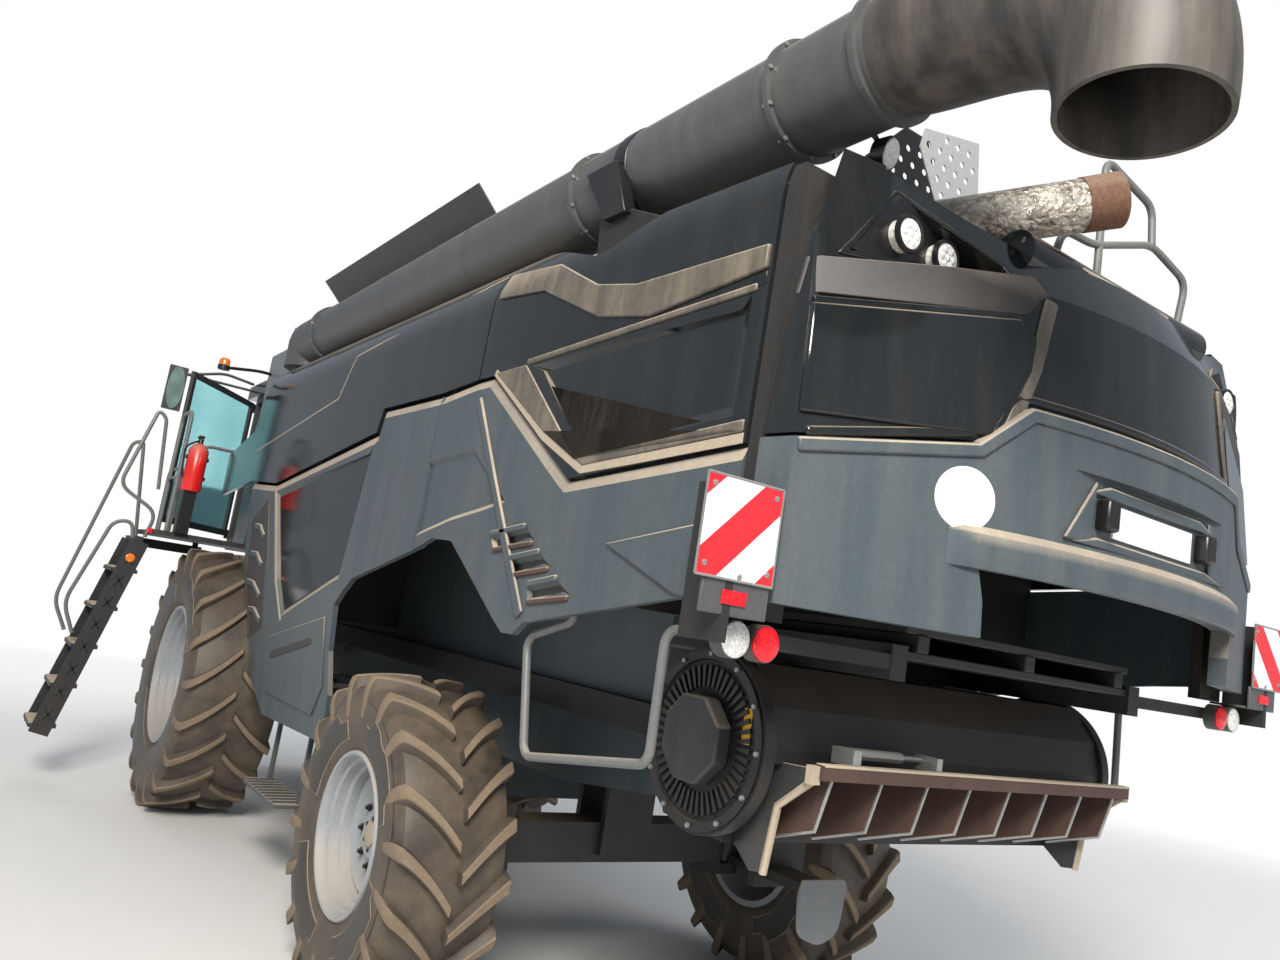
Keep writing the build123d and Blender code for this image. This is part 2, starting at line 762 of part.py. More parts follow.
def bevelled(shape, edge, width, depth):
    """A skin panel with a bevel along a run of its upper edge, given front to rear."""
    rows = []
    for i, (y, z) in enumerate(edge):
        before, after = edge[max(i - 1, 0)], edge[min(i + 1, len(edge) - 1)]
        ways = []
        for a, b in ((before, (y, z)), ((y, z), after)):
            if a != b:
                run = Vector(b[0] - a[0], b[1] - a[1], 0).normalized()
                ways.append(Vector(run.Y, -run.X, 0))
        way = ways[0] + ways[-1]
        share = 2 / way.dot(way)
        y_in, z_in = y + way.X * width * share, z + way.Y * width * share
        y_out, z_out = y - way.X * 2 * share, z - way.Y * 2 * share
        rows.append(Wire.make_polygon([
            Vector(side_x(z_out) + 4, y_out, z_out),
            Vector(side_x(z_in) + 1, y_in, z_in),
            Vector(side_x(z_out) - depth, y_out, z_out),
        ], close=True))
    tools = [Solid.make_loft([a, b], ruled=True) for a, b in zip(rows, rows[1:])]
    return max(shape.cut(*tools).solids(), key=lambda solid: solid.volume)


def skin_panel(outline, ribs=()):
    """A skin panel cut from the side strip, with pads against the ribs behind it."""
    low = min(y for y, z in outline) - 1
    high = max(y for y, z in outline) + 1
    cutter = prism("x", outline, 800, 1600)
    shape = side_shell(0, SKIN, low, high) & cutter
    for y in ribs:
        pad = side_shell(SKIN - 5, SKIN + RIB_GAP - RIB_TAB, y, y + RIB) & cutter
        shape = shape + pad
    return shape


def side_skin():
    """Upper, lower, arch and hood panels of both sides."""
    start, end = lower_panel_axis()
    lower = skin_panel(LOWER_PANEL)
    lower = dished(lower, GLOSS_DISH, DISH_DEPTH, 45)
    lower = bevelled(lower, LOWER_PANEL[:5], BEVEL, BEVEL_DEPTH)
    for a, b in ((start, end), (end, start)):
        lower -= rod(along(a, b, -20), along(a, b, PIN_DEPTH), PANEL_PIN_R + PIN_GAP)
    upper = skin_panel(UPPER_PANEL, (BULKHEAD, TANK_RIB, MID_RIBS[0]))
    (pin_start, pin_end), = hood_side_axis("front")
    upper += rod(pin_start, pin_end, PANEL_PIN_R)
    arch = dished(skin_panel(ARCH_PANEL, MID_RIBS), ARCH_DISH, DISH_DEPTH, 30)
    for louvre in LOUVRES:
        arch = dished(arch, louvre, DISH_DEPTH, 24)
    arch = bevelled(arch, ARCH_PANEL[:5], BEVEL, BEVEL_DEPTH)
    arch += rod(along(end, start, -SEAM - 10), along(end, start, PIN_DEPTH - 4), PANEL_PIN_R)
    hood = dished(skin_panel(HOOD_SIDE), HOOD_DISH, DISH_DEPTH, 50)
    front, rear = hood_side_axis()
    for a, b in ((front, rear), (rear, front)):
        hood -= rod(along(a, b, -20), along(a, b, PIN_DEPTH), PANEL_PIN_R + PIN_GAP)
    hood = max(hood.solids(), key=lambda solid: solid.volume)
    named = {"lower_panel": lower, "upper_panel": upper, "arch_panel": arch, "hood_side": hood}
    for name, shape in named.items():
        keep(f"{name}_left", shape)
        keep(f"{name}_right", mirrored(shape))
    foot = rod((*TUBE_FOOT, DECK_TOP), (*TUBE_FOOT, TUBE_BASE_Z), TUBE_BASE_R + SEAM)
    keep("upper_panel_left", upper - foot)


TAIL_PLAN = [(1478, REAR_FACE), (1440, 2720), (680, 2985)]
TAIL_BULGE = 3080


def tail_outline(inset, z, lean=0):
    """Plan outline of the tail at a height, moved forward by a lean."""
    pts = [Vector(x - inset * 0.6, max(y - inset - lean, REAR_FACE + 1), z) for x, y in TAIL_PLAN[1:]]
    first = Vector(TAIL_PLAN[0][0] - inset, REAR_FACE, z)
    left = [first] + pts
    right = [Vector(-p.X, p.Y, p.Z) for p in reversed(left)]
    middle = Vector(0, TAIL_BULGE - inset - lean, z)
    edges = [Edge.make_line(a, b) for a, b in zip(left, left[1:])]
    edges.append(Edge.make_three_point_arc(left[-1], middle, right[0]))
    edges += [Edge.make_line(a, b) for a, b in zip(right, right[1:])]
    edges.append(Edge.make_line(right[-1], left[0]))
    return Wire(edges)


TAIL_LOW = 2080
TAIL_STEP = 2295
TAIL_SPLIT = [(1500, 2565), (850, 2680), (680, 2830)]
RECESS_HALF = 540
RECESS = (2430, 2670)
RECESS_FLOOR = 3030


def rear_bumper():
    """Wraparound tail apron with a recess for the number plate."""
    shape = Solid.extrude(Face(tail_outline(0, TAIL_LOW)), Vector(0, 0, 2830 - TAIL_LOW))
    hollow = Solid.extrude(Face(tail_outline(BUMPER_WALL, TAIL_LOW - 5)), Vector(0, 0, 800))
    hollow += box((-1478 + BUMPER_WALL, 1478 - BUMPER_WALL), (REAR_FACE - 5, REAR_FACE + 5), (TAIL_LOW - 5, 2900))
    shape -= hollow
    split = TAIL_SPLIT + [(-x, z) for x, z in reversed(TAIL_SPLIT)]
    shape -= prism("y", split + [(-1600, 2565), (-1600, 3000), (1600, 3000), (1600, 2565)], 2500, 3200)
    under = [(815, TAIL_STEP), (790, 2190), (780, 2000), (-780, 2000), (-790, 2190), (-815, TAIL_STEP)]
    shape -= prism("y", under, 2500, 3200)
    shape -= box((-RECESS_HALF, RECESS_HALF), (RECESS_FLOOR, 3200), RECESS)
    keep("rear_bumper", shape)


def rear_hood():
    """Glossy tail cover above the apron, with a sunk pocket each side for work lamps."""
    low = Solid.make_loft([tail_outline(10, 2560), tail_outline(70, 3250)], ruled=True)
    high = Solid.make_loft([tail_outline(70, 3250), tail_outline(250, 3590)], ruled=True)
    shape = low + high
    split = [(x, z + SEAM) for x, z in TAIL_SPLIT]
    split += [(-x, z) for x, z in reversed(split)]
    shape -= prism("y", split + [(-1600, 2577), (-1600, 2400), (1600, 2400), (1600, 2577)], 2500, 3200)
    valley = [(1120, 3575), (610, 3440), (-610, 3440), (-1120, 3575), (-1120, 3700), (1120, 3700)]
    shape -= prism("y", valley, 2500, 3200)
    flank = side_shell(-300, 2, REAR_FACE - 1, 3200)
    shape = shape - flank - mirrored(flank)
    pocket = prism("y", POCKET, POCKET_FLOOR, 3200)
    shape = shape - pocket - mirrored(pocket)
    shape += rod((-600, 2790, 3430), (600, 2790, 3430), 85)
    keep("rear_hood", shape)


POCKET = [(1090, 3490), (720, 3320), (690, 3235), (1300, 3215)]
POCKET_FLOOR = 2700


def chopper():
    """Straw chopper housing with a round cover at each end, and the tailboard behind it."""
    outline = [
        (HOUSING_REAR, 1500),
        (HOUSING_REAR, 1900),
        (2200, 1900),
        (2310, 1760),
        (2340, 1620),
        (2340, 1575),
        (2180, 1575),
        (2150, 1270),
        (1800, 1290),
    ]
    shape = prism("x", outline, -CHOPPER_HALF, CHOPPER_HALF)
    for side in (1, -1):
        shape += rod((side * CHOPPER_HALF, 2030, 1600), (side * (CHOPPER_HALF + 50), 2030, 1600), 330)
        shape += rod((side * CHOPPER_HALF, 2030, 1600), (side * (CHOPPER_HALF + 110), 2030, 1600), 150)
    keep("chopper_housing", shape)
    board = box((-931, 931), (2190, 2520), (1557, 1575))
    board += box((-931, 931), (2480, 2520), (1575, 1605))
    for k in range(8):
        x = -860 + k * 1720 / 7
        board += prism("x", [(2200, 1300), (2200, 1557), (2490, 1557), (2440, 1380)], x - 5, x + 5)
    keep("tailboard", board)


def lamps_and_plates():
    """Lamp arms, round lamps, blank warning plates and the blank number plate."""
    arm = box((HOUSING_HALF + RAIL, 1640), (2560, 2610), (1945, 1995))
    arm += box((1612, 1640), (2560, 2742), (1945, 2400))
    keep("lamp_arms", both(arm))
    lamps = []
    for x in (1508, 1390):
        lamps.append(rod((x, 2610, 1960), (x, 2660, 1960), LAMP_R))
    pods = rod((326, RECESS_FLOOR, 2540), (326, RECESS_FLOOR + 40, 2540), 28)
    keep("tail_lamps", Compound([s for lamp in lamps + [pods] for s in both(lamp).solids()]))
    floor = POCKET_FLOOR
    work = []
    for x, z in ((1080, 3335), (890, 3318)):
        work.append(rod((x, floor, z), (x, floor + 45, z), 55))
    keep("work_lamps", Compound([s for lamp in work for s in both(lamp).solids()]))
    warn = box((1475, 1475 + PLATE), (2742, 2748), (2118, 2118 + PLATE))
    keep("warning_plates", both(warn))
    half = NUMBER_PLATE[0] / 2
    keep("number_plate", box((-half, half), (RECESS_FLOOR, RECESS_FLOOR + 8), (2485, 2485 + NUMBER_PLATE[1])))


def exhaust():
    """Wrapped tail pipe with an open slanted mouth."""
    points = [(700, 2350, DECK_TOP), (700, 2350, 3580), (120, 2830, 3800)]
    bore = [(700, 2350, DECK_TOP - 10), (700, 2350, 3580), (100, 2847, 3808)]
    shape = bent_bar(points, 100, 150) - bent_bar(bore, 88, 150)
    keep("exhaust_pipe", shape)


def heat_shield():
    """Drilled cover plate beside the exhaust, on its foot."""
    outline = [(860, DECK_TOP), (860, 3830), (560, 4140), (420, 4140), (300, 3900), (500, 3640), (560, DECK_TOP)]
    plate = prism("y", outline, 2180, 2186)
    plate += prism("y", [(470, 4090), (450, 4180), (100, 4260), (70, 4010), (330, 3880)], 2186, 2192)
    keep("heat_shield", plate)


def unloading_tube():
    """Swinging tube with its upright foot, end flange and rest collar."""
    x, y = TUBE_FOOT
    start = (x, y, TUBE_FRONT_Z)
    shape = rod(start, along(TUBE_REAR, start, -TUBE_R), TUBE_R)
    shape += rod((x, y, TUBE_BASE_Z), (x, y, TUBE_FRONT_Z), TUBE_R + 5)
    shape += Pos(*start) * Sphere(TUBE_R)
    hollow = rod(along(start, TUBE_REAR, 300), along(TUBE_REAR, start, -2 * TUBE_R), TUBE_R - TUBE_WALL)
    shape -= hollow
    for distance in (520, 4400, 5750, 6160):
        collar = ring(along(start, TUBE_REAR, distance), along(start, TUBE_REAR, distance + 24), TUBE_R + 22, TUBE_R - 2)
        shape += collar
    ex, ey, ez = TUBE_REAR
    shape -= box((ex - 500, ex + 500), (ey, ey + 500), (ez - 500, ez + 500))
    keep("unloading_tube", shape)
    base = rod((x, y, BULKHEAD_TOP), (x, y, TUBE_BASE_Z - PIN_GAP), TUBE_BASE_R)
    base += box((TANK_HALF, x - 20), (BULKHEAD + RIB, TANK_FRONT + 60), (BULKHEAD_TOP - 60, BULKHEAD_TOP))
    keep("tube_base", base)


def spout_form(shrink):
    """The chute's outer form, or its hollow when shrunk."""
    x, y, z = TUBE_REAR
    sections = []
    for run, drop, turn, wide, deep in SPOUT:
        slope = (0, cos(radians(turn)), -sin(radians(turn)))
        plane = Plane(origin=(x, y + run, z + drop), x_dir=(1, 0, 0), z_dir=slope)
        sections.append(plane * Ellipse(wide - shrink, deep - shrink))
    return loft(Sketch() + sections)


def spout():
    """Rubber chute that turns the grain down at the tube's end."""
    keep("spout", spout_form(0) - spout_form(SPOUT_WALL))


def feeder_house():
    """Sloping channel that lifts the crop, hinged at its rear top."""
    shape = prism("x", FEEDER_OUTLINE, -FEEDER_HALF, FEEDER_HALF)
    w = FEEDER_WALL
    lean = ((20, -w), (20, w), (0, w), (-10, w), (-10, -w), (0, -w))
    channel = [(y + dy, z + dz) for (y, z), (dy, dz) in zip(FEEDER_OUTLINE, lean)]
    hollow = prism("x", channel, -FEEDER_HALF + w, FEEDER_HALF - w)
    shape -= hollow
    y, z = LIFT_EYE
    lug = [(y + LUG_R, z), (y + LUG_R, z + 200), (y - 120, z + 200), (y - LUG_R, z)]
    for side in (1, -1):
        near, far = side * LIFT_X - LUG_HALF, side * LIFT_X + LUG_HALF
        ear = prism("x", lug, near, far) + rod((near, y, z), (far, y, z), LUG_R)
        shape += ear - prism("x", channel, near - 5, far + 5)
        shape -= rod((near - 5, y, z), (far + 5, y, z), LIFT_PIN_R)
        trunnion = (side * (HOUSING_HALF - RUNNING_GAP), *FEEDER_PIVOT)
        shape += rod((side * (FEEDER_HALF - w), *FEEDER_PIVOT), trunnion, 40)
    keep("feeder_house", shape)


def lift_cylinders():
    """Two barrels hinged on the front axle, and their rods with forks at the feeder's lugs."""
    barrels, rods = [], []
    for side in (1, -1):
        x = side * LIFT_X
        base = (x, *LIFT_BASE)
        eye = (x, *LIFT_EYE)
        way = (Vector(*eye) - Vector(*base)).normalized()
        barrel = rod((x - 20, *LIFT_BASE), (x + 20, *LIFT_BASE), 45)
        barrel += Plane(origin=base, z_dir=way, x_dir=(1, 0, 0)) * Pos(0, 0, 55) * Box(38, 60, 110)
        barrel += rod(along(base, eye, 90), along(base, eye, BARREL_LENGTH), BARREL_R)
        barrel -= rod(along(base, eye, 120), along(base, eye, BARREL_LENGTH + 10), LIFT_ROD_R + RUNNING_GAP)
        barrel -= rod((x - 30, *LIFT_BASE), (x + 30, *LIFT_BASE), LIFT_PIN_R + PIN_GAP)
        barrels.append(barrel)
        piston = rod(along(base, eye, 320), along(eye, base, 140), LIFT_ROD_R)
        frame = Plane(origin=eye, z_dir=way, x_dir=(1, 0, 0))
        piston += frame * Pos(0, 0, -140) * Box(88, 90, 80)
        for edge in (-1, 1):
            piston += frame * Pos(edge * 34, 0, -30) * Box(20, 90, 150)
        rods.append(piston)
    keep("lift_barrels", Compound([s for b in barrels for s in b.solids()]))
    keep("lift_rods", Compound([s for r in rods for s in r.solids()]))


def cab():
    """Hollow cab with cut windows, its roof, panes, door and inside."""
    y0, y1, z0, z1 = CAB_FRONT, CAB_BACK, CAB_FLOOR, CAB_ROOF
    shape = box((-CAB_HALF, CAB_HALF), (y0, y1), (z0, z1))
    t = PILLAR
    shape -= box((-CAB_HALF + t, CAB_HALF - t), (y0 + t, y1 - t), (z0 + CAB_FLOOR_THICK, z1 - 40))
    shape -= box((-CAB_HALF + t, CAB_HALF - t), (y0 - 10, y0 + t + 10), (z0 + 120, z1 - 60))
    shape -= box((-CAB_HALF + 3 * t, CAB_HALF - 3 * t), (y1 - t - 10, y1 + 10), (z0 + 700, z1 - 200))
    shape -= box((CAB_HALF - t - 10, CAB_HALF + 10), (y0 + t, y0 + DOOR_LENGTH), (z0 + 90, z1 - 50))
    shape -= box((-CAB_HALF - 10, -CAB_HALF + t + 10), (y0 + t, y0 + DOOR_LENGTH), (z0 + 300, z1 - 80))
    hx, hy = DOOR_HINGE
    hinges = (z0 + 130, z1 - 90)
    for z in hinges:
        shape += box((CAB_HALF - 5, hx + 12), (hy - 14, hy + 12), (z - 60, z - 30 - PIN_GAP))
        shape += rod((hx, hy, z - 40), (hx, hy, z + 20), DOOR_PIN_R)
    keep("cab_shell", shape)
    roof = box((-CAB_HALF - ROOF_OVERHANG, CAB_HALF + ROOF_OVERHANG), (y0 - 150, y1 + 40), (z1, z1 + ROOF_THICK))
    roof = chamfer(roof.edges().group_by(Axis.Z)[-1], 60)
    keep("cab_roof", roof)
    panes = [
        box((-CAB_HALF + t, CAB_HALF - t), (y0 + 20, y0 + 20 + GLASS), (z0 + 120, z1 - 60)),
        box((-CAB_HALF + 3 * t, CAB_HALF - 3 * t), (y1 - 30, y1 - 30 + GLASS), (z0 + 700, z1 - 200)),
        box((-CAB_HALF + 20, -CAB_HALF + 20 + GLASS), (y0 + t, y0 + DOOR_LENGTH), (z0 + 300, z1 - 80)),
    ]
    keep("cab_glass", Compound([s for p in panes for s in p.solids()]))
    inside = [
        box((-260, 260), (-5150, -4650), (z0 + CAB_FLOOR_THICK, z0 + 550)) + box((-250, 250), (-4740, -4640), (z0 + 550, z0 + 1250)),
        prism("x", [(-5490, z0 + 50), (-5420, z0 + 50), (-5370, z0 + 800), (-5410, z0 + 800)], -35, 35)
        + ring((0, -5390, z0 + 795), (0, -5384, z0 + 825), 200, 170)
        + box((-180, 180), (-5405, -5375), (z0 + 795, z0 + 815)),
    ]
    keep("cab_interior", Compound([s for p in inside for s in p.solids()]))
    door_z = (z0 + 95, z1 - 55)
    inner_x = CAB_HALF + DOOR_GAP
    frame = box((inner_x, inner_x + DOOR_THICK), (hy + 30, hy + DOOR_LENGTH), door_z)
    frame -= box((inner_x - 10, inner_x + DOOR_THICK + 10), (hy + 80, hy + DOOR_LENGTH - 50), (door_z[0] + 60, door_z[1] - 50))
    for z in hinges:
        frame += box((inner_x, inner_x + DOOR_THICK), (hy - 18, hy + 35), (z - 30, z + 30))
        frame -= rod((hx, hy, z - 35), (hx, hy, z + 35), DOOR_PIN_R + PIN_GAP)
    pane = box((inner_x + 12, inner_x + 12 + GLASS), (hy + 80, hy + DOOR_LENGTH - 50), (door_z[0] + 60, door_z[1] - 50))
    opened = Pos(hx, hy, 0) * Rot(0, 0, -DOOR_OPEN) * Pos(-hx, -hy, 0)
    keep("cab_door", opened * frame)
    keep("door_glass", opened * pane)
    near = CAB_HALF + ROOF_OVERHANG + 6
    tower = box((near, near + 184), (-4560, -3960), (CAB_FLOOR, CAB_FLOOR + 1800))
    keep("intake_box", chamfer(tower.edges().group_by(Axis.Z)[-1], 50))


def platform():
    """Floor plate under the cab and beside it, with the ladder's pin."""
    plate = box((-CAB_HALF, PLATFORM_X), (PLATFORM_FRONT, PLATFORM_BACK), (CARRIER_TOP, CARRIER_TOP + FLOOR_PLATE))
    plate += box((-CAB_HALF, CAB_HALF), (CAB_FRONT, PLATFORM_FRONT), (CARRIER_TOP, CARRIER_TOP + FLOOR_PLATE))
    x, y = LADDER_PIVOT
    plate += rod((x, y, CARRIER_TOP - 125), (x, y, CARRIER_TOP + 5), LADDER_PIN_R)
    plate += rod((x, y, CARRIER_TOP - 145), (x, y, CARRIER_TOP - 125), 45)
    keep("platform", plate)


def ladder():
    """Folding ladder with a swing arm under the platform and its hand rails."""
    (hx, hz), (fx, fz) = LADDER_HEAD, LADDER_FOOT
    length = sqrt((hx - fx) ** 2 + (hz - fz) ** 2)
    ux, uz = (fx - hx) / length, (fz - hz) / length
    nx, nz = -uz, ux
    half = STRINGER_WIDTH / 2
    outline = [
        (hx + nx * half, hz + nz * half),
        (fx + nx * half, fz + nz * half),
        (fx - nx * half, fz - nz * half),
        (hx - nx * half, hz - nz * half),
    ]
    near, far = LADDER_Y
    shape = prism("y", outline, near, near + STRINGER) + prism("y", outline, far - STRINGER, far)
    for k in range(STEPS):
        run = length * (k + 0.8) / STEPS
        cx, cz = hx + ux * run, hz + uz * run
        shape += box((cx - 100, cx + 100), (near, far), (cz - 15, cz + 15))
    px, py = LADDER_PIVOT
    arm_z = (CARRIER_TOP - 110, CARRIER_TOP - 30)
    arm = box((px - 50, hx + 30), (py - 50, py + 50), arm_z)
    arm += box((hx - 20, hx + 30), (py - 50, far), arm_z)
    arm -= rod((px, py, arm_z[0] - 10), (px, py, arm_z[1] + 10), LADDER_PIN_R + PIN_GAP)
    shape += arm
    keep("ladder", shape)


def rails():
    """Tubular hand rails and the hoop guards under the tail."""
    floor = CARRIER_TOP + FLOOR_PLATE
    r = RAIL_TUBE_R
    bars = [
        bent_bar([(1950, -4380, floor), (1950, -4380, 3160), (1950, -4000, 3160), (1950, -4000, floor)], r, 90),
        bent_bar([(-700, 2450, DECK_TOP), (-700, 2450, 3800), (-960, 1500, 3800), (-960, 1500, DECK_TOP)], r, 90),
    ]
    keep("hand_rails", Compound([s for b in bars for s in b.solids()]))
    rib_y, arm_y = MID_RIBS[1] + RIB / 2, REAR_RIB
    hoop = [(rib_y, OUTRIGGER[1]), (rib_y, 1940), (1265, 1850), (1390, 1397), (2196, 1522), (2186, 1965), (arm_y, 1965)]
    keep("hoop_guards", both(bent_bar([(1400, y, z) for y, z in hoop], r, 60)))
    mirrors = box((1750, 1922), (-6020, -5980), (3400, 3850))
    mirrors += rod((1750, -6000, CAB_ROOF + 90), (CAB_HALF + ROOF_OVERHANG, -6000, CAB_ROOF + 90), 14)
    keep("mirrors", both(mirrors))


def build():
    """Draws every piece."""
    wheels()
    front_axle()
    rear_axle()
    knuckle()
    main_frame()
    separator_housing()
    grain_tank()
    tank_lids()
    body_frames()
    side_skin()
    rear_bumper()
    rear_hood()
    chopper()
    lamps_and_plates()
    exhaust()
    heat_shield()
    unloading_tube()
    spout()
    feeder_house()
    lift_cylinders()
    cab()
    platform()
    ladder()
    rails()
    keep("engine_block", box((-450, 450), (500, 1500), (HOUSING_TOP, 3300)))


def ground_centre():
    """The point below the middle of the whole machine's box."""
    boxes = [shape.bounding_box() for shape in PIECES.values()]
    middle = []
    for axis in ("X", "Y"):
        low = min(getattr(b.min, axis) for b in boxes)
        high = max(getattr(b.max, axis) for b in boxes)
        middle.append((low + high) / 2)
    return middle


build()
X_MID, Y_MID = ground_centre()
os.makedirs("parts", exist_ok=True)
for node, shape in PIECES.items():
    placed = Pos(-X_MID, -Y_MID, 0) * Compound(list(shape.solids()))
    export_step(placed, f"parts/{node}.step")
print(len(PIECES), "pieces, origin at", round(X_MID, 3), round(Y_MID, 3))
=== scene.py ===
import json
from math import cos, pi, sin, sqrt

import bmesh
import bpy
from mathutils import Matrix, Vector


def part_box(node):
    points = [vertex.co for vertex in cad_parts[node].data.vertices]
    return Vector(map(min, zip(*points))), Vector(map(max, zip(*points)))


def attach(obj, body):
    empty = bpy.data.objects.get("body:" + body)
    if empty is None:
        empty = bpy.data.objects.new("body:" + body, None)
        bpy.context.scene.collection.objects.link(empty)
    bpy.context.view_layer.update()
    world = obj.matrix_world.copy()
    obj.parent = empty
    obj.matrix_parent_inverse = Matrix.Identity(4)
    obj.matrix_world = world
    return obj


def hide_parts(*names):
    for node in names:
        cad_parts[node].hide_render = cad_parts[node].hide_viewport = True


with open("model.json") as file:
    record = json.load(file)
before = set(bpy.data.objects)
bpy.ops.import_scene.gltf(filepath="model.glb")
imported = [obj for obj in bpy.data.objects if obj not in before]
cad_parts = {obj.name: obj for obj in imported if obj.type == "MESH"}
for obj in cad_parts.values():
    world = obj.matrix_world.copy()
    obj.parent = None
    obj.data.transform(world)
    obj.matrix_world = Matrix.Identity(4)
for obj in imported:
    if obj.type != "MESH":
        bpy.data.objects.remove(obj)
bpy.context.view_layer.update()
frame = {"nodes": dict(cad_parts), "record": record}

# The machine's own axes, in metres; the rear axle's middle lies a little behind their start
AXLE_LOW, AXLE_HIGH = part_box("rear_axle")
AXLE_AT = 0.09
ORIGIN = Vector(((AXLE_LOW.x + AXLE_HIGH.x) / 2, (AXLE_LOW.y + AXLE_HIGH.y) / 2 - AXLE_AT, 0))
SIDES = ("left", "right")
OUT = (1, 0, 0)
BACK = (0, 1, 0)
UP = (0, 0, 1)

# Camera: place in machine axes, heading, rise and roll in radians, lens in millimetres
CAMERA_PLACE = Vector((3.395, 4.842, 1.9415))
CAMERA_YAW = 0.595
CAMERA_PITCH = 0.15
CAMERA_ROLL = 0.1554
CAMERA_LENS = 27.82

# Base colours, linear
SLATE = (0.052, 0.07, 0.082)
GRAPHITE = (0.01, 0.012, 0.014)
CHARCOAL = (0.028, 0.031, 0.034)
SOOT = (0.014, 0.014, 0.015)
RUBBER = (0.03, 0.026, 0.023)
DUST = (0.42, 0.35, 0.27)
MUD = (0.25, 0.185, 0.125)
SILVER = (0.27, 0.29, 0.31)
STEEL = (0.42, 0.42, 0.42)
WHITE = (0.8, 0.8, 0.8)

# Upward shares of a surface's normal between which dust begins to lie and lies full
DUST_ON_MATTE = (0.12, 0.4)
DUST_ON_GLOSS = (0.5, 0.85)

# Bands of the warning plates: height of one red and white pair, and where a red one begins
SIGN_BAND = 0.283
SIGN_START = 0.974

# Outer skin of the body as (x, z), from the sill to the crown; it bows between two of the corners
SKIN_LINE = [(1.335, 0.7), (1.48, 1.9), (1.48, 2.5), (1.466, 3.36), (1.33, 3.64), (1.23, 3.7)]
BOW_FOOT = 3
DISH = 0.018

# Tail in plan: the corners' (x, y) at the apron, and the bulge of the middle; above the apron's top it
# leans forward by (height, distance); last, the y of the floor of its lamp pockets
TAIL_CORNERS = [(1.478, 2.612), (1.44, 2.72), (0.68, 2.985)]
TAIL_BULGE = 3.08
APRON_TOP = 2.56
TAIL_LEAN = [(APRON_TOP, 0.01), (3.25, 0.07), (3.59, 0.25)]
POCKET_FLOOR = 2.7

# Left wheels: place, sizes of tyre and rim, and how far the rim's disc and cap stand out
FRONT = {"end": "front", "y": -3.92, "radius": 1.03, "width": 0.71, "rim": 0.547, "centre": 1.405,
         "lugs": 20, "way": 1, "hub": 0.15, "disc": 0.02, "cap": 0.094, "nuts": 10}
REAR = {"end": "rear", "y": AXLE_AT, "radius": 0.776, "width": 0.56, "rim": 0.39, "centre": 1.305,
        "lugs": 18, "way": -1, "hub": 0.12, "disc": 0.06, "cap": 0.114, "nuts": 8}
# Lugs: height, width at top and foot, share of the pitch that they sweep, and start off the middle
LUG_HEIGHT = 0.048
LUG_TOP = 0.046
LUG_FOOT = 0.074
LUG_SWEEP = 0.86
LUG_START = 0.012

# Unloading tube's middle line, and chopper's side cover
TUBE_FRONT = Vector((1.2, -3.56, 3.885))
TUBE_REAR = Vector((1.108, 2.65, 3.998))
COVER = (1.05, 2.03, 1.6)

# Rear faces of the warning plates and of the number plate's pod
SIGN_FACE = 2.7475
POD_FACE = 3.029

# Ladder: middle line's head and foot as (x, z), and the outer faces of its two stringers
LADDER_HEAD = Vector((2.05, 2.04))
LADDER_FOOT = Vector((2.46, 0.4))
STRINGER_FACES = (-5.0005, -4.4795)
RAIL_RADIUS = 0.016


def place(point):
    """A point of the machine's axes in the frame."""
    return Vector(point) + ORIGIN


